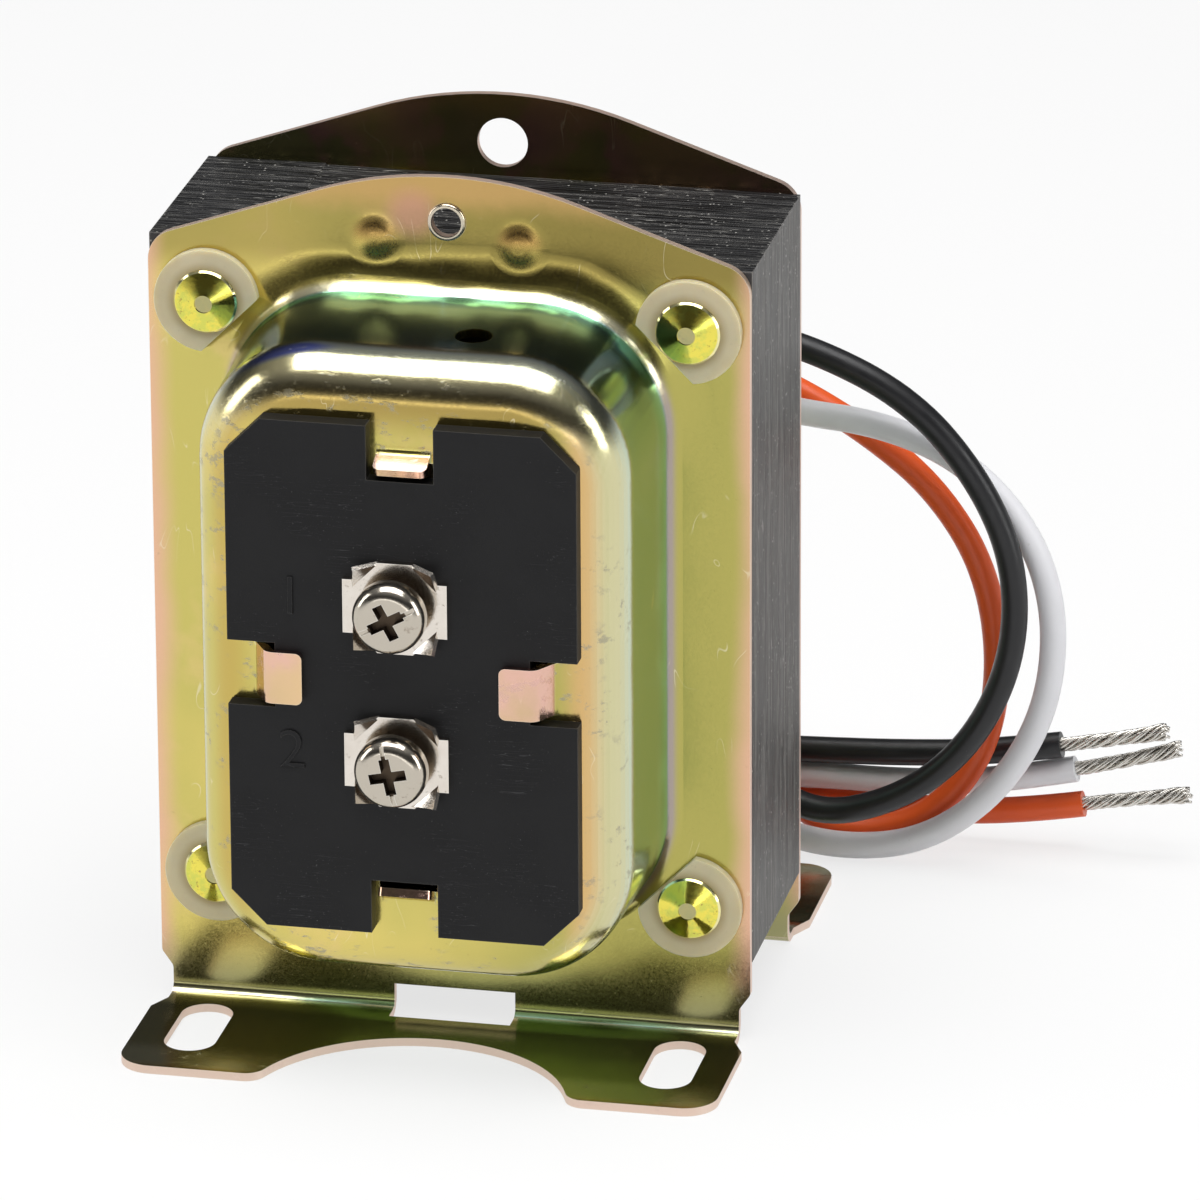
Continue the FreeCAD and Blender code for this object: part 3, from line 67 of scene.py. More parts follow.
def place(name, data):
    thing = bpy.data.objects.new(name, data)
    bpy.context.scene.collection.objects.link(thing)
    return thing


# The camera, at the photograph's angle
def make_camera():
    azimuth, elevation, roll = math.radians(12.19), math.radians(20.72), math.radians(-0.30)
    target, distance = mm(12.909, 2.75, 43.06), 1.14207
    back = Vector((
        math.sin(azimuth) * math.cos(elevation),
        -math.cos(azimuth) * math.cos(elevation),
        math.sin(elevation),
    ))
    right = (-back).cross(Vector((0, 0, 1))).normalized()
    up = right.cross(-back)
    rolled_right = right * math.cos(roll) + up * math.sin(roll)
    rolled_up = up * math.cos(roll) - right * math.sin(roll)
    data = bpy.data.cameras.new("camera")
    data.sensor_width = 36.0
    data.lens = 326.93
    data.clip_start = 0.01
    data.clip_end = 20
    camera = place("camera", data)
    axes = Matrix((rolled_right, rolled_up, back)).transposed()
    camera.matrix_world = Matrix.Translation(target + back * distance) @ axes.to_4x4()
    bpy.context.scene.camera = camera


make_camera()

# The leads take the solids' routes: across, out from the rear cup's face and up from the floor
LEAD_STARTS = {
    "black": [(-6.6, 25.2, 31.8), (-8.6, 31.25, 33.7), (-8.6, 41.95, 33.7)],
    "white": [(-12.1, 25.15, 31.7), (-11.65, 31.25, 34.14), (-11.65, 44.95, 34.14)],
    "orange": [(-8.6, 25.25, 39.4), (-9.74, 31.25, 36.56), (-9.74, 44.95, 36.56)],
}
LEAD_ROUTES = {
    "black": [
        (-3.6, 11.3, 29.6), (4.6, 11.2, 23.8), (12.0, 7.4, 17.8), (20.0, 3.7, 11.4),
        (28.5, 1.1, 5.9), (38.6, 0.9, 8.9), (46.3, 0.9, 15.8), (50.8, 0.9, 25.8),
        (51.0, 0.9, 36.8), (47.0, 0.9, 46.3), (39.5, 0.9, 55.0), (28.0, 1.3, 60.2),
        (16.5, 2.3, 61.8), (5.0, 3.2, 59.8), (-6.5, 4.3, 55.6), (-15.4, 5.9, 47.8),
        (-19.2, 7.9, 36.3), (-17.0, 9.9, 24.3), (-9.4, 11.1, 15.0), (2.0, 11.3, 10.4),
        (14.0, 11.2, 9.4), (26.1, 10.9, 9.9), (37.0, 10.5, 10.5), (46.5, 10.5, 11.3),
        (54.6, 10.5, 12.8),
    ],
    "white": [
        (-6.7, 14.3, 30.0), (1.2, 13.8, 23.4), (7.0, 9.9, 17.0), (13.8, 6.1, 9.4),
        (22.0, 4.2, 3.4), (31.0, 3.8, 1.5), (40.5, 3.9, 2.9), (48.6, 4.0, 9.2),
        (53.9, 4.0, 18.8), (55.0, 4.0, 29.8), (52.2, 4.0, 39.4), (45.0, 4.0, 47.2),
        (36.0, 4.0, 50.8), (26.0, 4.6, 51.4), (15.0, 5.7, 52.8), (4.0, 7.1, 55.0),
        (-7.5, 8.7, 54.0), (-17.5, 9.8, 47.8), (-23.0, 10.7, 36.8), (-21.4, 11.5, 23.3),
        (-13.2, 11.9, 12.0), (-1.0, 11.7, 6.6), (12.0, 11.4, 6.0), (25.9, 11.3, 6.9),
        (37.0, 11.3, 6.8), (47.0, 11.3, 7.6), (56.1, 11.3, 9.8),
    ],
    "orange": [
        (-4.8, 14.5, 32.5), (3.0, 14.7, 26.6), (10.4, 12.0, 20.4), (17.4, 8.3, 13.4),
        (23.8, 7.0, 6.2), (31.4, 6.9, 1.8), (40.6, 7.0, 4.4), (46.6, 7.1, 12.2),
        (48.4, 7.1, 22.8), (46.6, 7.1, 34.0), (41.2, 7.1, 42.6), (34.0, 7.2, 48.4),
        (25.5, 7.8, 53.0), (15.0, 8.9, 56.6), (4.0, 10.3, 58.2), (-8.5, 11.7, 56.6),
        (-20.0, 12.7, 49.8), (-27.0, 13.3, 37.8), (-25.4, 13.3, 21.8), (-16.4, 12.9, 9.0),
        (-3.5, 12.5, 2.9), (10.5, 12.2, 2.4), (26.1, 12.2, 3.9), (36.0, 12.2, 3.5),
        (47.2, 12.2, 3.5), (56.8, 12.2, 5.4),
    ],
}
LEAD_LENGTHS = {"black": 0.2908, "white": 0.3144, "orange": 0.3138}


def make_lead(colour):
    points = [mm(*point) for point in LEAD_STARTS[colour]]
    points += [mm(x, REAR_FACE + out, up) for x, out, up in LEAD_ROUTES[colour]]
    curve = bpy.data.curves.new(f"{colour}_lead_cord", "CURVE")
    curve.dimensions = "3D"
    curve.resolution_u = 10
    spline = curve.splines.new("NURBS")
    spline.points.add(len(points) - 1)
    for knot, point in zip(spline.points, points):
        knot.co = (*point, 1.0)
        knot.radius = LEAD_DIAMETER / 2 * MM
    spline.order_u = 3
    spline.use_endpoint_u = True
    return place(f"{colour}_lead_cord", curve)


def line_of(lead):
    """The points that a lead's smooth line runs through."""
    graph = bpy.context.evaluated_depsgraph_get()
    mesh = bpy.data.meshes.new_from_object(lead.evaluated_get(graph))
    points = [vertex.co.copy() for vertex in mesh.vertices]
    bpy.data.meshes.remove(mesh)
    return points


# Bare twisted strands at a lead's end: each ring of wires has a radius, a number of wires and a turned start
WIRE_RINGS = [(0.0, 1, 0.0), (0.36, 6, 0.2), (0.62, 9, 0.0)]
WIRE_RADIUS = 0.165
WIRE_STEPS = 44
WIRE_SIDES = 7
START_INSIDE = 1.5
OPENING_FROM = 0.62
OPENING = 0.30
TURNS = {"black": 1.7, "white": 1.6, "orange": 1.8}
DROOP = {"black": 0.03, "white": 0.05, "orange": -0.02}


def wire_line(end, axes, ring, start, seed, turns, droop):
    """The middle line of one wire. seed makes each wire a little uneven in its own way."""
    along, side, up = axes
    reach = STRAND_LENGTH - 0.25 - 0.55 * (0.5 + 0.5 * math.sin(seed * 3.7))
    middle = []
    for step in range(WIRE_STEPS + 1):
        part = step / WIRE_STEPS
        run = -START_INSIDE + (reach + START_INSIDE) * part
        opening = 1 + OPENING * max(0.0, part - OPENING_FROM) / (1 - OPENING_FROM)
        opening += 0.05 * math.sin(seed + 9 * part)
        angle = 2 * math.pi * (start + turns * part) + 0.12 * math.sin(seed + 6 * part)
        lift = droop * max(0.0, run) ** 2 / STRAND_LENGTH
        offset = side * math.cos(angle) + up * math.sin(angle)
        middle.append(end + (along * run + up * lift + offset * ring * opening) * MM)
    return middle


def add_tube(middle, up, corners, faces):
    """Adds a closed round wire along its middle line to a mesh's corners and faces."""
    first = len(corners)
    steps = len(middle) - 1
    for step, point in enumerate(middle):
        before, after = middle[max(step - 1, 0)], middle[min(step + 1, steps)]
        forward = (after - before).normalized()
        across = forward.cross(up).normalized()
        over = across.cross(forward)
        for corner in range(WIRE_SIDES):
            turn = 2 * math.pi * corner / WIRE_SIDES
            spread = (across * math.cos(turn) + over * math.sin(turn)) * WIRE_RADIUS * MM
            corners.append(point + spread)
    for step in range(steps):
        low, high = first + step * WIRE_SIDES, first + (step + 1) * WIRE_SIDES
        for corner in range(WIRE_SIDES):
            following = (corner + 1) % WIRE_SIDES
            faces.append((low + corner, low + following, high + following, high + corner))
    last = first + steps * WIRE_SIDES
    faces.append([first + corner for corner in reversed(range(WIRE_SIDES))])
    faces.append([last + corner for corner in range(WIRE_SIDES)])


def make_strands(colour, lead):
    points = line_of(lead)
    end = points[-1]
    along = (end - points[-3]).normalized()
    side = along.cross(Vector((0, 0, 1))).normalized()
    up = side.cross(along)
    corners, faces = [], []
    for ring, count, phase in WIRE_RINGS:
        for wire in range(count):
            seed = wire * 2.399 + ring * 5.1
            start = wire / count + phase
            middle = wire_line(end, (along, side, up), ring, start, seed, TURNS[colour], DROOP[colour])
            add_tube(middle, up, corners, faces)
    mesh = bpy.data.meshes.new(f"{colour}_strand_wires")
    mesh.from_pydata(corners, [], faces)
    mesh.shade_smooth()
    return place(f"{colour}_strand_wires", mesh)


leads, strands = {}, {}
for colour, length in LEAD_LENGTHS.items():
    lead = make_lead(colour)
    strand = make_strands(colour, lead)
    # The knots carry the lead's real radius, so the bevel round them is 1
    lead.data.bevel_depth = 1.0
    lead.data.bevel_resolution = 6
    lead.data.use_fill_caps = True
    leads[colour], strands[colour] = lead, strand
    for piece, node in ((lead, f"{colour}_lead"), (strand, f"{colour}_lead_strands")):
        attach(piece, "root")
        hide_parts(node)


# Plain numerals moulded on the board beside the two terminals
def make_numeral(text, x, z):
    data = bpy.data.curves.new(f"numeral_{text}", "FONT")
    data.body = text
    data.size = 6.0 * MM
    data.align_x, data.align_y = "CENTER", "CENTER"
    data.extrude = 0.16 * MM
    data.bevel_depth = 0.05 * MM
    data.offset = -0.08 * MM
    numeral = place(f"numeral_{text}", data)
    upright = Matrix.Rotation(math.radians(90), 4, "X")
    numeral.matrix_world = Matrix.Translation(mm(x, BOARD_FACE, z)) @ upright
    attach(numeral, "root")
    return numeral


NUMERAL_ACROSS = -11.6
numerals = [make_numeral("1", NUMERAL_ACROSS, 54.9), make_numeral("2", NUMERAL_ACROSS, 38.1)]


class Finish:
    """A material's nodes, in millimetres of the part's frame."""

    def __init__(self, name):
        self.material = bpy.data.materials.new(name)
        self.material.use_nodes = True
        self.tree = self.material.node_tree
        self.shader = self.tree.nodes["Principled BSDF"]
        coordinates = self.add("ShaderNodeTexCoord")
        scaled = self.add("ShaderNodeVectorMath", operation="SCALE")
        self.join(scaled.inputs[0], coordinates.outputs["Object"])
        scaled.inputs["Scale"].default_value = 1 / MM
        self.point = scaled.outputs[0]
        split = self.add("ShaderNodeSeparateXYZ")
        self.join(split.inputs[0], self.point)
        self.x, self.y, self.z = split.outputs
        facing = self.add("ShaderNodeSeparateXYZ")
        self.join(facing.inputs[0], self.add("ShaderNodeNewGeometry").outputs["True Normal"])
        self.facing_x, self.facing_y, self.facing_z = facing.outputs

    def add(self, kind, **settings):
        node = self.tree.nodes.new(kind)
        for name, value in settings.items():
            setattr(node, name, value)
        return node

    def join(self, socket, value):
        if isinstance(value, bpy.types.NodeSocket):
            self.tree.links.new(value, socket)
        elif isinstance(value, tuple) and socket.type == "RGBA":
            socket.default_value = (*value, 1.0)
        else:
            socket.default_value = value

    def set(self, **values):
        for name, value in values.items():
            self.join(self.shader.inputs[name.replace("_", " ")], value)

    def work(self, operation, first, second=0.0):
        node = self.add("ShaderNodeMath", operation=operation)
        self.join(node.inputs[0], first)
        self.join(node.inputs[1], second)
        return node.outputs[0]

    def plus(self, first, second):
        return self.work("ADD", first, second)

    def minus(self, first, second):
        return self.work("SUBTRACT", first, second)

    def times(self, first, *others):
        for other in others:
            first = self.work("MULTIPLY", first, other)
        return first

    def away(self, value, middle):
        """How far a value lies from a middle one, on either side."""
        return self.work("ABSOLUTE", self.minus(value, middle))

    def length(self, first, second):
        squares = self.plus(self.times(first, first), self.times(second, second))
        return self.work("SQRT", squares)

    def stretch(self, x, y, z):
        node = self.add("ShaderNodeVectorMath", operation="MULTIPLY")
        self.join(node.inputs[0], self.point)
        node.inputs[1].default_value = (x, y, z)
        return node.outputs[0]

    def noise(self, size, detail=3.0, roughness=0.5, stretch=None, distortion=0.0):
        """Noise whose lumps are about size millimetres wide."""
        node = self.add("ShaderNodeTexNoise")
        self.join(node.inputs["Vector"], self.stretch(*stretch) if stretch else self.point)
        node.inputs["Scale"].default_value = 1 / size
        node.inputs["Detail"].default_value = detail
        node.inputs["Roughness"].default_value = roughness
        node.inputs["Distortion"].default_value = distortion
        return node.outputs["Fac"]

    def cells(self, size):
        """How far a point lies from the nearest of scattered points, about size millimetres apart."""
        node = self.add("ShaderNodeTexVoronoi")
        self.join(node.inputs["Vector"], self.point)
        node.inputs["Scale"].default_value = 1 / size
        return node.outputs["Distance"]

    def span(self, value, low, high, to_low=0.0, to_high=1.0):
        """value from low to high, turned smoothly into to_low to to_high."""
        node = self.add("ShaderNodeMapRange", interpolation_type="SMOOTHSTEP")
        self.join(node.inputs["Value"], value)
        node.inputs["From Min"].default_value = low
        node.inputs["From Max"].default_value = high
        node.inputs["To Min"].default_value = to_low
        node.inputs["To Max"].default_value = to_high
        return node.outputs["Result"]

    def mix(self, factor, first, second):
        """first where the factor is 0 and second where it is 1."""
        node = self.add("ShaderNodeMix", data_type="RGBA")
        self.join(node.inputs["Factor"], factor)
        self.join(node.inputs[6], first)
        self.join(node.inputs[7], second)
        return node.outputs[2]

    def bump(self, *layers):
        """Each layer is (height, depth in millimetres, strength)."""
        normal = None
        for height, depth, strength in layers:
            node = self.add("ShaderNodeBump")
            node.inputs["Strength"].default_value = strength
            node.inputs["Distance"].default_value = depth * MM
            self.join(node.inputs["Height"], height)
            if normal:
                self.join(node.inputs["Normal"], normal)
            normal = node.outputs["Normal"]
        self.join(self.shader.inputs["Normal"], normal)

    def scatter(self, weight, radius, scale):
        """Light that goes a little way into the piece, scale in millimetres."""
        self.shader.inputs["Subsurface Weight"].default_value = weight
        self.shader.inputs["Subsurface Radius"].default_value = radius
        self.shader.inputs["Subsurface Scale"].default_value = scale * MM

    def rounded(self, radius):
        """1 on outer edges and 0 on flats."""
        bevel = self.add("ShaderNodeBevel", samples=6)
        bevel.inputs["Radius"].default_value = radius * MM
        geometry = self.add("ShaderNodeNewGeometry")
        dot = self.add("ShaderNodeVectorMath", operation="DOT_PRODUCT")
        self.join(dot.inputs[0], bevel.outputs[0])
        self.join(dot.inputs[1], geometry.outputs["Normal"])
        return self.span(dot.outputs["Value"], 0.99, 0.75)


def srgb(red, green, blue):
    """A colour given as 0 to 255 on the screen."""
    def light(value):
        value /= 255
        return value / 12.92 if value <= 0.04045 else ((value + 0.055) / 1.055) ** 2.4
    return light(red), light(green), light(blue)


def dress(finish, *names):
    for name in names:
        for spot in nodes[name].material_slots:
            spot.material = finish.material


# The chromate film's tones: gold and greener gold on the flats, pink where the film thins. The green, teal
# and dark tones of the cup's walls and the foot are painted reflections, and some other tones are painted
# shade and highlights, as marked
GOLD = srgb(222, 203, 116)
GREENER_GOLD = srgb(204, 192, 108)
PEACH = srgb(232, 200, 140)
SHADED_GOLD = srgb(174, 168, 92)
UPPER_OLIVE_REFLECTION = srgb(142, 126, 68)
CROWN_TAN = srgb(206, 166, 108)
HALO_PINK = srgb(222, 146, 156)
DIMPLE_LIT_BELOW, DIMPLE_SHADED_ABOVE = srgb(224, 202, 110), srgb(178, 138, 82)
EYE_RIM = srgb(216, 208, 192)
SIDE_PINK = srgb(238, 184, 164)
FOOT_GREEN_REFLECTION, FOOT_OLIVE_REFLECTION = srgb(150, 158, 104), srgb(154, 152, 112)
SIDE_TEAL_REFLECTION, SIDE_GREEN_REFLECTION = srgb(168, 226, 246), srgb(144, 186, 176)
TOP_TEAL_REFLECTION, TOP_DARK_REFLECTION, TOP_FAR_REFLECTION = srgb(156, 236, 240), srgb(66, 104, 132), srgb(98, 128, 154)
ROOT_VIOLET, ROOT_CREAM_HIGHLIGHT = srgb(158, 142, 178), srgb(244, 240, 214)
SHADE_OVER_BOARD, LEFT_FACE, RIGHT_FACE = srgb(166, 140, 78), srgb(196, 164, 88), srgb(234, 182, 132)
RUBBED_AND_HIGHLIGHT, SMEAR_BLUE, SCUFF_GREY = srgb(228, 224, 192), srgb(62, 84, 196), srgb(160, 156, 138)
GRIME_BROWN, SCRATCH_PALE = srgb(140, 118, 70), srgb(242, 234, 206)
TAB_PINK, CUT_EDGE, WORN_EDGE = srgb(234, 186, 176), srgb(236, 212, 200), srgb(236, 226, 206)


class Chromate(Finish):
    """Zinc plating with a yellow chromate film, painted in layers from the broad tones to the wear; painted
    reflections, highlights and shade are among the layers.
    """

    def __init__(self, name):
        super().__init__(name)
        self.depth = self.away(self.y, CORE_MIDDLE_DEPTH)
        self.rise = self.minus(self.depth, FLANGE_DEPTH)
        self.across = self.work("ABSOLUTE", self.x)
        self.steepness = self.work("ABSOLUTE", self.facing_y)
        self.broad = self.noise(17, 2.0)
        self.cloud = self.noise(6.5, 3.0, 0.55)
        self.colour = self.mix(self.span(self.broad, 0.38, 0.62), GOLD, GREENER_GOLD)

    def paint(self, amount, tone):
        self.colour = self.mix(amount, self.colour, tone)

    def paint_flats(self):
        self.paint(self.span(self.cloud, 0.54, 0.74, 0.0, 0.35), PEACH)
        self.paint(self.span(self.x, -4.0, 22.0, 0.0, 0.9), SHADED_GOLD)
        # Painted reflection: the flange darker olive just above the cup
        height = self.plus(self.z, self.times(self.broad, 5.0))
        upper = self.times(self.span(height, 82.0, 87.0), self.span(self.x, -20.0, 18.0, 0.6, 0.9))
        self.paint(upper, UPPER_OLIVE_REFLECTION)

    def paint_dome(self):
        """Pink at the top and round the eye, the dimples with painted shade over their upper halves, and the
        eye's bright rim. Returns the dimples.
        """
        crown = self.plus(self.z, self.times(self.cloud, 3.0))
        self.paint(self.span(crown, 90.0, 93.5, 0.0, 0.75), CROWN_TAN)
        halo = self.length(self.plus(self.x, 3.6), self.minus(self.z, 89.2))
        self.paint(self.span(halo, 3.8, 0.8, 0.0, 0.38), HALO_PINK)
        from_dimple = self.length(self.minus(self.across, DIMPLE_ACROSS), self.minus(self.z, DIMPLE_HEIGHT))
        dimple = self.times(self.span(from_dimple, 3.0, 1.4), self.span(self.depth, 13.4, 13.55))
        # Painted shade: each dimple gold on its lower half and darker brown on its upper half
        over = self.span(self.z, DIMPLE_HEIGHT - 1.0, DIMPLE_HEIGHT + 1.0)
        self.paint(self.times(dimple, 0.7), self.mix(over, DIMPLE_LIT_BELOW, DIMPLE_SHADED_ABOVE))
        from_eye = self.length(self.x, self.minus(self.z, EYE_HEIGHT))
        eye = self.times(self.span(from_eye, 3.0, 2.7), self.span(self.depth, 13.62, 13.7))
        self.paint(self.times(eye, 0.8), EYE_RIM)
        return dimple

    def paint_sides_and_foot(self, flange_tone, mottle_tone):
        """Pink along the flange's sides, the faces between the two bells in the given tones, and the foot in
        greens that are a painted reflection.
        """
        sides = self.plus(self.across, self.times(self.broad, 4.0))
        self.paint(self.span(sides, 31.2, 34.4, 0.0, 0.8), SIDE_PINK)
        # On the rear bell these faces take dark brown and olive: painted shade between the bells, mottled
        # like the film
        between = self.times(self.span(self.depth, 13.58, 13.45), self.span(self.z, 12.0, 16.0))
        mottling = self.span(self.noise(7.5, 4.0, 0.6), 0.44, 0.58)
        mottled = self.mix(mottling, flange_tone, mottle_tone)
        tone = self.mix(self.span(self.broad, 0.38, 0.62), mottled, self.colour)
        self.paint(between, self.mix(self.span(self.depth, 12.65, 12.8, 0.6, 0.0), tone, mottled))
        # Painted reflection: the foot in darker green and olive
        foot = self.mix(self.span(self.across, 9.0, 28.0), FOOT_GREEN_REFLECTION, FOOT_OLIVE_REFLECTION)
        self.paint(self.span(self.z, 9.0, 1.6, 0.0, 0.9), foot)

    def paint_cup_walls(self):
        """Painted reflections: green on the sides, teal above near the root and dark beyond it. Along the
        root, a violet line on the sides and a painted cream highlight on top.
        """
        wall = self.times(
            self.span(self.steepness, 0.6, 0.2), self.span(self.rise, 0.3, 1.6), self.span(self.z, 6.0, 8.0)
        )
        upper = self.times(wall, self.span(self.facing_z, 0.2, 0.8))
        reach = self.plus(self.rise, self.times(self.minus(self.cloud, 0.5), 6.0))
        side_reflection_tone = self.mix(self.span(reach, 1.0, 6.0), SIDE_TEAL_REFLECTION, SIDE_GREEN_REFLECTION)
        upper_reflection_tone = self.mix(self.span(reach, 2.2, 3.6), TOP_TEAL_REFLECTION, TOP_DARK_REFLECTION)
        upper_reflection_tone = self.mix(self.span(reach, 5.0, 8.5), upper_reflection_tone, TOP_FAR_REFLECTION)
        # Painted reflections: green and teal on the side walls; on the top wall teal near the root and dark
        # beyond it
        self.paint(self.times(wall, 0.85), side_reflection_tone)
        self.paint(self.times(upper, 0.95), upper_reflection_tone)
        root = self.times(
            self.span(self.rise, 1.6, 0.8), self.span(self.rise, 0.0, 0.5), self.span(self.z, 83.2, 82.6)
        )
        self.paint(self.times(root, self.span(self.facing_z, 0.6, 0.1), 0.55), ROOT_VIOLET)
        # Painted highlight: cream along the up-facing part of the root
        self.paint(self.times(root, self.span(self.facing_z, 0.2, 0.5), 0.7), ROOT_CREAM_HIGHLIGHT)

    def paint_cup_face(self):
        """Painted shade over the board, warmer on both sides, and the round edge rubbed pale with a painted
        highlight where it faces up or right, and a blue smear.
        """
        # Painted shade: the face just over the board darker brown
        shade_over_board = self.times(self.span(self.depth, 32.0, 33.6), self.span(self.z, 71.0, 76.0, 0.0, 0.85))
        self.paint(shade_over_board, SHADE_OVER_BOARD)
        face = self.span(self.depth, 32.6, 33.8)
        self.paint(self.times(face, self.span(self.x, -15.5, -18.5, 0.0, 0.6)), LEFT_FACE)
        self.paint(self.times(face, self.span(self.x, 15.5, 18.5, 0.0, 0.6)), RIGHT_FACE)
        # Pale where the round edge is rubbed, strongest where it faces up or right: partly wear, partly a
        # painted highlight
        shoulder = self.times(self.span(self.depth, 27.5, 30.5), self.span(self.depth, 34.15, 33.2))
        lit = self.work("MAXIMUM", self.facing_z, self.times(self.facing_x, 0.6))
        self.paint(self.times(shoulder, self.span(lit, 0.0, 0.5, 0.06, 1.0), 0.6), RUBBED_AND_HIGHLIGHT)
        smear_x = self.times(self.plus(self.x, 13.0), 0.20)
        smear_y = self.plus(self.times(self.x, 0.05), self.minus(self.depth, 29.6))
        smear = self.span(self.length(smear_x, smear_y), 1.2, 0.5)
        self.paint(self.times(smear, self.span(self.z, 74.0, 77.0), 0.8), SMEAR_BLUE)

    def paint_wear(self):
        """Scuffs on the cup's edge, brown grime and hair scratches. Returns the scuffs."""
        scuff = self.times(
            self.span(self.noise(1.3, 6.0, 0.7, (0.5, 1.0, 1.0)), 0.54, 0.64),
            self.span(self.cloud, 0.42, 0.58),
            self.span(self.depth, 28.5, 31.0),
        )
        self.paint(self.times(scuff, 0.7), SCUFF_GREY)
        self.paint(self.span(self.noise(0.9, 6.0, 0.65), 0.64, 0.78, 0.0, 0.35), GRIME_BROWN)
        line = self.away(self.noise(4.0, 1.0, 0.5, (1.0, 1.0, 0.4), 1.2), 0.5)
        scratch = self.times(self.span(line, 0.006, 0.001), self.span(self.noise(5.0, 2.0), 0.56, 0.64))
        self.paint(self.times(scratch, 0.4), SCRATCH_PALE)
        return scuff

    def paint_edges(self):
        """The tabs are pinker, and edges are bright. Returns the sheared edges."""
        tabs = self.times(self.span(self.depth, 34.3, 34.7), self.span(self.cloud, 0.3, 0.7, 0.5, 0.9))
        self.paint(tabs, TAB_PINK)
        plate_edge = self.times(self.span(self.steepness, 0.7, 0.3), self.span(self.depth, 13.75, 13.6))
        upward = self.work("ABSOLUTE", self.facing_z)
        foot_edge = self.times(self.span(upward, 0.7, 0.3), self.span(self.z, 0.98, 0.9))
        sheared = self.work("MAXIMUM", plate_edge, foot_edge)
        self.paint(self.times(sheared, 0.85), CUT_EDGE)
        self.paint(self.times(self.rounded(0.2), 0.6), WORN_EDGE)
        return sheared

    def outside_cup(self):
        """How far a point lies outside the cup's outline, in millimetres."""
        across = self.minus(self.across, CUP_HALF_WIDTH - CUP_CORNER)
        upright = self.minus(self.away(self.z, CUP_MIDDLE), CUP_HALF_HEIGHT - CUP_CORNER)
        reach = self.length(self.work("MAXIMUM", across, 0.0), self.work("MAXIMUM", upright, 0.0))
        inside = self.work("MINIMUM", self.work("MAXIMUM", across, upright), 0.0)
        return self.minus(self.plus(reach, inside), CUP_CORNER)

    def soft_rise(self, distance, far, near, steep):
        """A height that grows towards an edge: its slope is steep at near and 0 at far and at the edge."""
        least = 0.3
        outer = self.work("MINIMUM", self.minus(far, distance), far - near)
        outer = self.work("MAXIMUM", outer, 0.0)
        inner = self.work("MAXIMUM", self.minus(near, distance), 0.0)
        inner = self.work("MINIMUM", inner, near - least)
        grown = self.times(outer, outer, steep / 2 / (far - near))
        bent = self.times(inner, inner, steep / 2 / (near - least))
        return self.minus(self.plus(grown, self.times(inner, steep)), bent)

    def swell(self):
        """The sheet's soft rise towards the cup, on both sides of the root."""
        wavy = self.times(self.minus(self.noise(9.0, 1.0), 0.5), 1.8)
        on_flange = self.soft_rise(self.plus(self.outside_cup(), wavy), 5.3, 1.4, 0.50)
        on_flange = self.times(on_flange, self.span(self.z, 62.0, 80.0, 0.08, 1.0))
        return self.plus(on_flange, self.soft_rise(self.rise, 4.4, 1.1, 0.33))


def chromate_finish(name, flange_tone, mottle_tone):
    coat = Chromate(name)
    coat.paint_flats()
    dimple = coat.paint_dome()
    coat.paint_sides_and_foot(flange_tone, mottle_tone)
    coat.paint_cup_walls()
    coat.paint_cup_face()
    scuff = coat.paint_wear()
    sheared = coat.paint_edges()
    grain = coat.noise(0.22, 4.0, 0.6)
    rough = coat.plus(coat.span(grain, 0.2, 0.8, 0.15, 0.28), coat.times(scuff, 0.15))
    rough = coat.plus(rough, coat.times(sheared, 0.3))
    rough = coat.minus(rough, coat.span(coat.depth, 13.7, 15.0, 0.0, 0.04))
    rough = coat.plus(rough, coat.times(dimple, 0.08))
    coat.set(Base_Color=coat.colour, Metallic=1.0, Roughness=rough)
    coat.bump(
        (coat.swell(), 1.0, 1.0),
        (coat.broad, 0.5, 0.6),
        (grain, 0.006, 0.6),
        (coat.noise(3.2, 2.0), 0.04, 0.3),
        (scuff, 0.02, 0.4),
    )
    return coat


dress(chromate_finish("chromate_front", srgb(224, 205, 112), srgb(204, 192, 108)), "front_bell")
# The rear bell's faces between the two bells are dark brown and olive: painted shade between the bells,
# mottled like the film
dress(chromate_finish("chromate_rear", srgb(142, 104, 98), srgb(116, 112, 74)), "rear_bell")


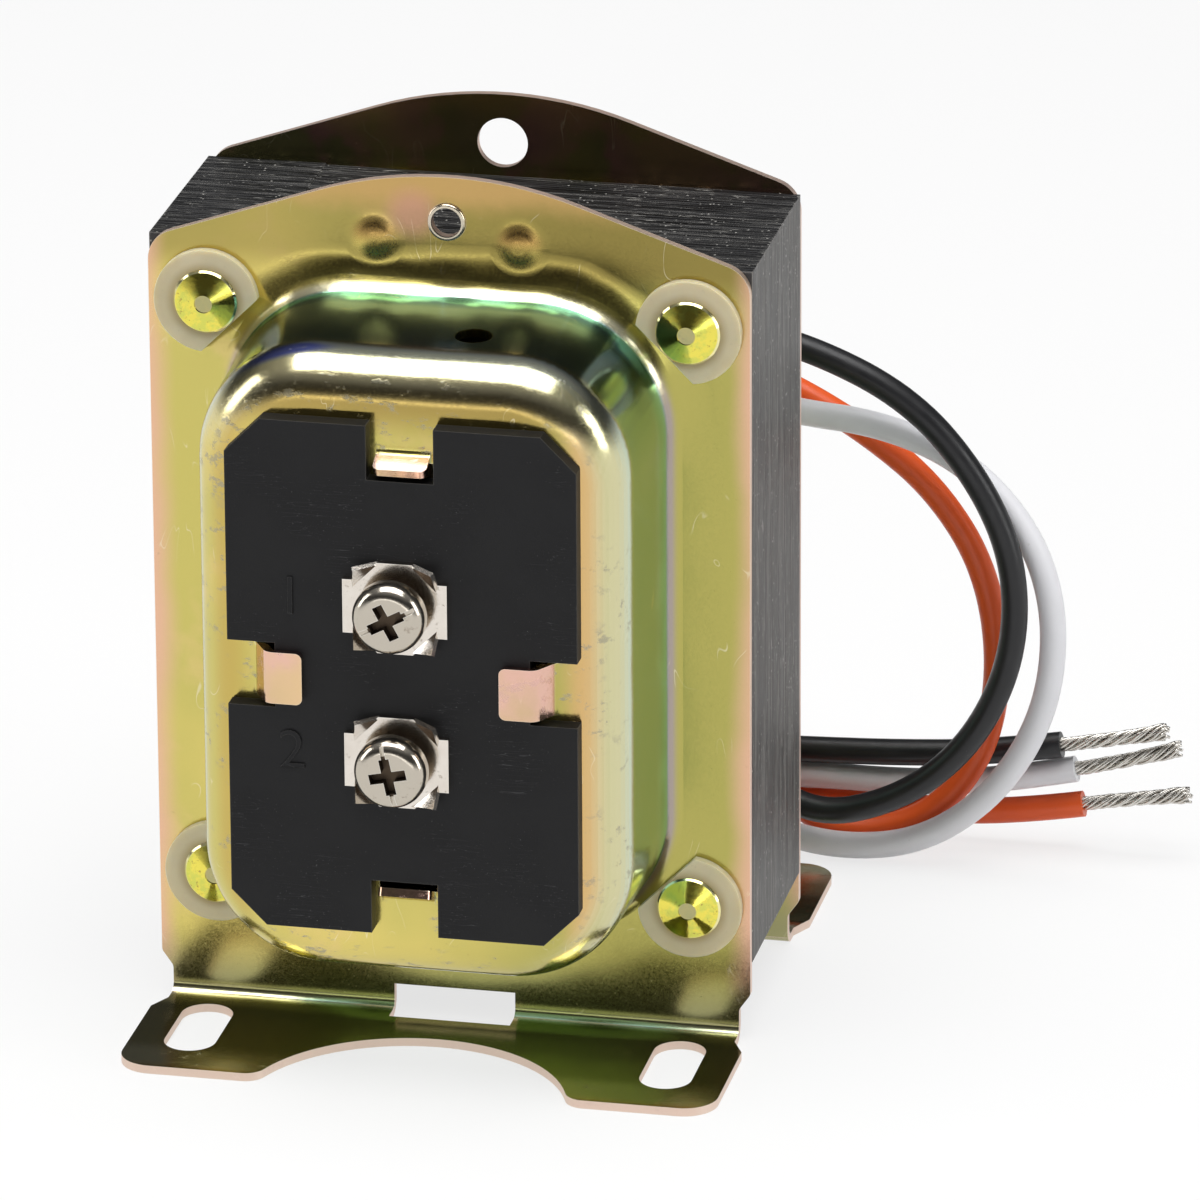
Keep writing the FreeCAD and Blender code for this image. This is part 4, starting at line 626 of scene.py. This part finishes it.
# The laminations under black varnish: streaks along the sheets, light dashes where the edges show, and the
# side faces painted lighter than the top as painted light
def lamination_finish():
    coat = Finish("lamination_varnish")
    streak = coat.noise(0.42, 4.0, 0.6, (0.03, 1.0, 0.03))
    dash = coat.noise(0.30, 2.0, 0.5, (0.16, 1.0, 0.16))
    blotch = coat.noise(8.0, 4.0, 0.6)
    # Painted light: the side faces get lighter tones than the top
    side = coat.times(coat.span(coat.work("ABSOLUTE", coat.facing_x), 0.3, 0.8), 0.9)
    dark = coat.mix(side, srgb(12, 12, 13), srgb(42, 41, 39))
    light = coat.mix(side, srgb(50, 50, 52), srgb(108, 105, 101))
    colour = coat.mix(coat.span(streak, 0.3, 0.75), dark, light)
    dashes = coat.times(coat.span(dash, 0.60, 0.76), coat.span(blotch, 0.36, 0.62), 0.8)
    colour = coat.mix(dashes, colour, srgb(176, 174, 168))
    specks = coat.times(coat.span(coat.cells(0.8), 0.20, 0.08), 0.8)
    specks = coat.times(specks, coat.span(coat.noise(3.0, 3.0), 0.43, 0.55))
    colour = coat.mix(specks, colour, srgb(190, 188, 182))
    edge = coat.times(coat.rounded(0.3), coat.span(streak, 0.45, 0.65))
    colour = coat.mix(edge, colour, srgb(140, 138, 134))
    rough = coat.span(streak, 0.3, 0.7, 0.34, 0.55)
    coat.set(Base_Color=colour, Roughness=rough, Specular_IOR_Level=0.5)
    coat.bump((streak, 0.10, 0.7), (dash, 0.05, 0.5))
    return coat


dress(lamination_finish(), "core_e_laminations", "core_i_laminations")


# Black moulded board with rubbed dust and hair scratches
def board_finish():
    coat = Finish("board_plastic")
    dust = coat.noise(0.18, 3.0, 0.6)
    patch = coat.noise(7.0, 3.0)
    colour = coat.mix(patch, srgb(13, 13, 15), srgb(20, 20, 22))
    spots = coat.times(coat.span(dust, 0.68, 0.76), coat.span(patch, 0.42, 0.58), 0.6)
    colour = coat.mix(spots, colour, srgb(120, 120, 120))
    line = coat.away(coat.noise(0.9, 1.0, 0.5, (0.15, 1.0, 2.4), 0.6), 0.5)
    hair = coat.times(coat.span(line, 0.006, 0.0), coat.span(patch, 0.52, 0.62), 0.4)
    colour = coat.mix(hair, colour, srgb(96, 96, 98))
    colour = coat.mix(coat.times(coat.rounded(0.2), 0.6), colour, srgb(90, 88, 84))
    rough = coat.span(patch, 0.3, 0.7, 0.50, 0.62)
    coat.set(Base_Color=colour, Roughness=rough, Specular_IOR_Level=0.3)
    coat.bump((dust, 0.02, 0.6), (coat.noise(0.6, 3.0), 0.02, 0.4))
    return coat


board = board_finish()
dress(board, "terminal_board")
for numeral in numerals:
    numeral.data.materials.append(board.material)


# Nickel plated terminals and screws, the screws' sunk hollows painted dark inside as painted shade
def nickel_finish():
    coat = Finish("nickel")
    cloud = coat.noise(2.4, 3.0)
    grain = coat.noise(0.12, 3.0, 0.6)
    colour = coat.mix(cloud, srgb(236, 230, 222), srgb(214, 204, 192))
    heads = coat.span(coat.y, HEAD_TOP + 2.6, HEAD_TOP + 2.3)
    colour = coat.mix(coat.times(heads, 0.9), colour, srgb(190, 182, 168))
    tarnish = coat.span(coat.noise(0.7, 5.0, 0.65), 0.60, 0.74, 0.0, 0.5)
    colour = coat.mix(tarnish, colour, srgb(128, 112, 92))
    colour = coat.mix(coat.times(coat.rounded(0.15), 0.7), colour, srgb(240, 238, 232))
    upright = coat.minus(coat.away(coat.z, CUP_MIDDLE), TERMINAL_UPRIGHT)
    from_axis = coat.length(coat.minus(coat.x, TERMINAL_ACROSS), upright)
    sunk = coat.span(coat.y, HEAD_TOP + 0.08, HEAD_TOP + 0.2)
    # Painted shade: dark brown inside each screw head's sunk hollow
    recess_shade = coat.times(coat.span(from_axis, 2.25, 2.15), sunk)
    colour = coat.mix(coat.times(recess_shade, 0.92), colour, srgb(70, 54, 38))
    rough = coat.plus(coat.span(grain, 0.3, 0.7, 0.10, 0.22), coat.times(recess_shade, 0.35))
    coat.set(Base_Color=colour, Metallic=1.0, Roughness=rough)
    coat.bump((grain, 0.006, 0.5), (coat.noise(1.6, 2.0), 0.05, 0.3))
    return coat


dress(
    nickel_finish(),
    "upper_terminal_plate",
    "lower_terminal_plate",
    "upper_terminal_screw",
    "lower_terminal_screw",
)


def from_rivet(coat):
    """How far a point lies from the nearest rivet's axis, in millimetres."""
    across = coat.minus(coat.work("ABSOLUTE", coat.x), RIVET_ACROSS)
    return coat.length(across, coat.minus(coat.away(coat.z, CORE_MIDDLE), RIVET_UPRIGHT))


# Rivets with the same yellow film, and a bare steel nub in the middle of each head
def rivet_finish():
    coat = Finish("rivet_steel")
    reach = from_rivet(coat)
    cloud = coat.noise(1.3, 4.0, 0.6)
    colour = coat.mix(coat.span(cloud, 0.4, 0.62), srgb(236, 222, 96), srgb(214, 214, 100))
    dirt = coat.span(coat.noise(0.6, 5.0, 0.7), 0.58, 0.70, 0.0, 0.7)
    colour = coat.mix(dirt, colour, srgb(150, 120, 70))
    colour = coat.mix(coat.span(reach, 1.05, 0.85, 0.0, 0.8), colour, srgb(158, 152, 124))
    colour = coat.mix(coat.span(reach, 3.10, 3.25, 0.0, 0.7), colour, srgb(244, 238, 196))
    coat.set(Base_Color=colour, Metallic=1.0, Roughness=coat.span(cloud, 0.3, 0.7, 0.06, 0.16))
    coat.bump((coat.noise(0.9, 3.0), 0.03, 0.4))
    return coat


dress(rivet_finish(), "core_rivets")


# Milky nylon of the washers, the bushing and the bobbin
def nylon_finish(name, pale, deep, rough):
    coat = Finish(name)
    cloud = coat.noise(3.2, 3.0)
    colour = coat.mix(cloud, pale, deep)
    # Painted shade: darker yellow-brown on the washers right round each rivet head
    colour = coat.mix(coat.span(from_rivet(coat), 4.5, 3.3, 0.0, 0.8), colour, srgb(182, 160, 112))
    marks = coat.span(coat.noise(0.5, 5.0, 0.65), 0.62, 0.74, 0.0, 0.3)
    colour = coat.mix(marks, colour, srgb(176, 164, 132))
    coat.set(Base_Color=colour, Roughness=coat.span(cloud, 0.3, 0.7, rough, rough + 0.12))
    coat.scatter(0.6, (1.0, 0.8, 0.5), 1.2)
    coat.bump((coat.noise(0.4, 3.0), 0.012, 0.4))
    return coat


washer = nylon_finish("washer_nylon", srgb(222, 211, 180), srgb(205, 191, 152), 0.36)
dress(washer, "front_rivet_washers", "rear_rivet_washers")
dress(nylon_finish("bushing_nylon", srgb(232, 229, 220), srgb(218, 214, 202), 0.38), "lead_bushing")
dress(nylon_finish("bobbin_nylon", srgb(222, 216, 200), srgb(206, 199, 180), 0.45), "bobbin")


# Enamelled copper wire, wound in even layers
def copper_finish():
    coat = Finish("copper")
    wave = coat.add("ShaderNodeTexWave", bands_direction="X")
    coat.join(wave.inputs["Vector"], coat.point)
    wave.inputs["Scale"].default_value = 2.1
    wave.inputs["Distortion"].default_value = 0.4
    colour = coat.mix(wave.outputs["Fac"], srgb(110, 48, 20), srgb(196, 108, 60))
    rough = coat.span(coat.noise(1.0), 0.3, 0.7, 0.24, 0.36)
    coat.set(Base_Color=colour, Metallic=0.85, Roughness=rough)
    coat.bump((wave.outputs["Fac"], 0.12, 0.8))
    return coat


dress(copper_finish(), "primary_winding", "secondary_winding")


# Yellow film tape, lapped round the windings
def tape_finish():
    coat = Finish("coil_tape")
    lap = coat.noise(9.0, 3.0, 0.5, (1.0, 0.3, 0.3))
    colour = coat.mix(lap, srgb(226, 188, 60), srgb(206, 160, 36))
    crease = coat.noise(1.2, 4.0, 0.6, (0.4, 1.0, 1.0), 0.5)
    coat.set(Base_Color=colour, Roughness=coat.span(crease, 0.3, 0.7, 0.22, 0.42))
    coat.bump((crease, 0.08, 0.6))
    return coat


dress(tape_finish(), "primary_tape", "secondary_tape")


# Pressed insulating card
def card_finish():
    coat = Finish("liner_card")
    fibre = coat.noise(0.35, 5.0, 0.7, (0.25, 1.0, 1.0))
    colour = coat.mix(fibre, srgb(150, 118, 80), srgb(188, 156, 112))
    coat.set(Base_Color=colour, Roughness=coat.span(fibre, 0.3, 0.7, 0.75, 0.9))
    coat.bump((fibre, 0.05, 0.7))
    return coat


dress(card_finish(), "front_coil_liner", "rear_coil_liner")


# Soft vinyl of the leads and of the sleeves behind the board
def vinyl_finish(name, main, other, marks, rough):
    coat = Finish(name)
    colour = coat.mix(coat.noise(5.0, 3.0), main, other)
    speck = coat.span(coat.noise(0.55, 3.0, 0.6), 0.70, 0.78, 0.0, 0.5)
    colour = coat.mix(speck, colour, marks)
    gloss = coat.span(coat.noise(1.5, 3.0), 0.3, 0.7, rough, rough + 0.1)
    coat.set(Base_Color=colour, Roughness=gloss, Specular_IOR_Level=0.45)
    coat.bump((coat.noise(0.8, 3.0), 0.02, 0.5), (coat.noise(6.0, 2.0), 0.12, 0.4))
    return coat


# Each lead's main tone, its other tone, its marks and its least roughness
VINYL = {
    "black": (srgb(22, 22, 24), srgb(28, 28, 31), srgb(90, 90, 92), 0.34),
    "white": (srgb(226, 226, 229), srgb(218, 218, 222), srgb(190, 188, 186), 0.36),
    "orange": (srgb(228, 92, 34), srgb(218, 84, 30), srgb(170, 70, 34), 0.36),
}
for colour, tones in VINYL.items():
    leads[colour].data.materials.append(vinyl_finish(f"{colour}_insulation", *tones).material)
dress(
    vinyl_finish("wire_sleeve", srgb(214, 204, 170), srgb(200, 188, 150), srgb(150, 136, 100), 0.5),
    "upper_terminal_wire",
    "lower_terminal_wire",
)


# Tinned copper strands
def tinned_finish():
    coat = Finish("tinned_copper")
    cloud = coat.noise(0.8, 3.0)
    colour = coat.mix(cloud, srgb(226, 224, 220), srgb(196, 190, 180))
    colour = coat.mix(coat.span(coat.noise(0.5, 4.0), 0.6, 0.72, 0.0, 0.4), colour, srgb(150, 138, 118))
    coat.set(Base_Color=colour, Metallic=1.0, Roughness=coat.span(cloud, 0.3, 0.7, 0.22, 0.36))
    coat.bump((coat.noise(0.15, 3.0), 0.01, 0.5))
    return coat


tinned = tinned_finish()
for strand in strands.values():
    strand.data.materials.append(tinned.material)


# A pale floor that keeps a soft shadow. What looks at it sees it partly as plain white
FLOOR_GLOW = 0.75


def make_floor():
    mesh = bpy.data.meshes.new("floor")
    half = 6.0
    corners = [(-half, -half, 0), (half, -half, 0), (half, half, 0), (-half, half, 0)]
    mesh.from_pydata(corners, [], [(0, 1, 2, 3)])
    floor = place("floor", mesh)
    floor.location.z = -0.02 * MM
    finish = Finish("floor")
    finish.set(Base_Color=(0.86, 0.86, 0.86), Roughness=0.9, Specular_IOR_Level=0.1)
    seen = finish.add("ShaderNodeEmission")
    seen.inputs["Strength"].default_value = 1.0
    path = finish.add("ShaderNodeLightPath")
    blend = finish.add("ShaderNodeMixShader")
    seen_by = finish.work("MAXIMUM", path.outputs["Is Camera Ray"], path.outputs["Is Glossy Ray"])
    seen_by = finish.work("MAXIMUM", seen_by, path.outputs["Is Transmission Ray"])
    finish.join(blend.inputs[0], finish.times(seen_by, FLOOR_GLOW))
    finish.join(blend.inputs[1], finish.shader.outputs[0])
    finish.join(blend.inputs[2], seen.outputs[0])
    finish.join(finish.tree.nodes["Material Output"].inputs["Surface"], blend.outputs[0])
    mesh.materials.append(finish.material)


# What the metal mirrors: a bright table edge low down, a dark room over it, and grey towards the top.
# Each stop is a height and a brightness
SKY = [
    (0.0, 0.62), (0.03, 0.55), (0.20, 0.055), (0.46, 0.05), (0.64, 0.16), (0.80, 0.26), (1.0, 0.30),
]


def make_world():
    world = bpy.data.worlds.new("studio")
    world.use_nodes = True
    bpy.context.scene.world = world
    tree = world.node_tree
    sky = tree.nodes["Background"]
    coordinates = tree.nodes.new("ShaderNodeTexCoord")
    split = tree.nodes.new("ShaderNodeSeparateXYZ")
    tree.links.new(coordinates.outputs["Generated"], split.inputs[0])
    ramp = tree.nodes.new("ShaderNodeValToRGB")
    tree.links.new(split.outputs["Z"], ramp.inputs[0])
    stops = ramp.color_ramp.elements
    for number, (height, level) in enumerate(SKY):
        stop = stops[number] if number < 2 else stops.new(height)
        stop.position = height
        stop.color = (level, level, level, 1.0)
    tree.links.new(ramp.outputs["Color"], sky.inputs["Color"])


def make_lamp(name, spot, aim, width, height, power):
    data = bpy.data.lights.new(name, "AREA")
    data.shape = "RECTANGLE"
    data.size, data.size_y = width, height
    data.energy = power
    lamp = place(name, data)
    lamp.location = spot
    lamp.rotation_euler = (Vector(aim) - Vector(spot)).to_track_quat("-Z", "Y").to_euler()


LAMPS = [
    ("overhead", (0.0, -0.12, 0.95), (0, -0.02, 0.05), 0.9, 0.72, 9.5),
    ("right", (1.1, -0.20, 0.40), (0, 0, 0.05), 0.4, 0.7, 4.0),
    ("left", (-1.1, -0.30, 0.45), (0, 0, 0.05), 0.4, 0.7, 3.0),
    ("front", (0.1, -1.0, 0.02), (0, 0, 0.06), 1.1, 0.2, 1.0),
]

make_floor()
make_world()
for lamp in LAMPS:
    make_lamp(*lamp)

bpy.context.scene.view_settings.view_transform = "Standard"
bpy.context.view_layer.update()
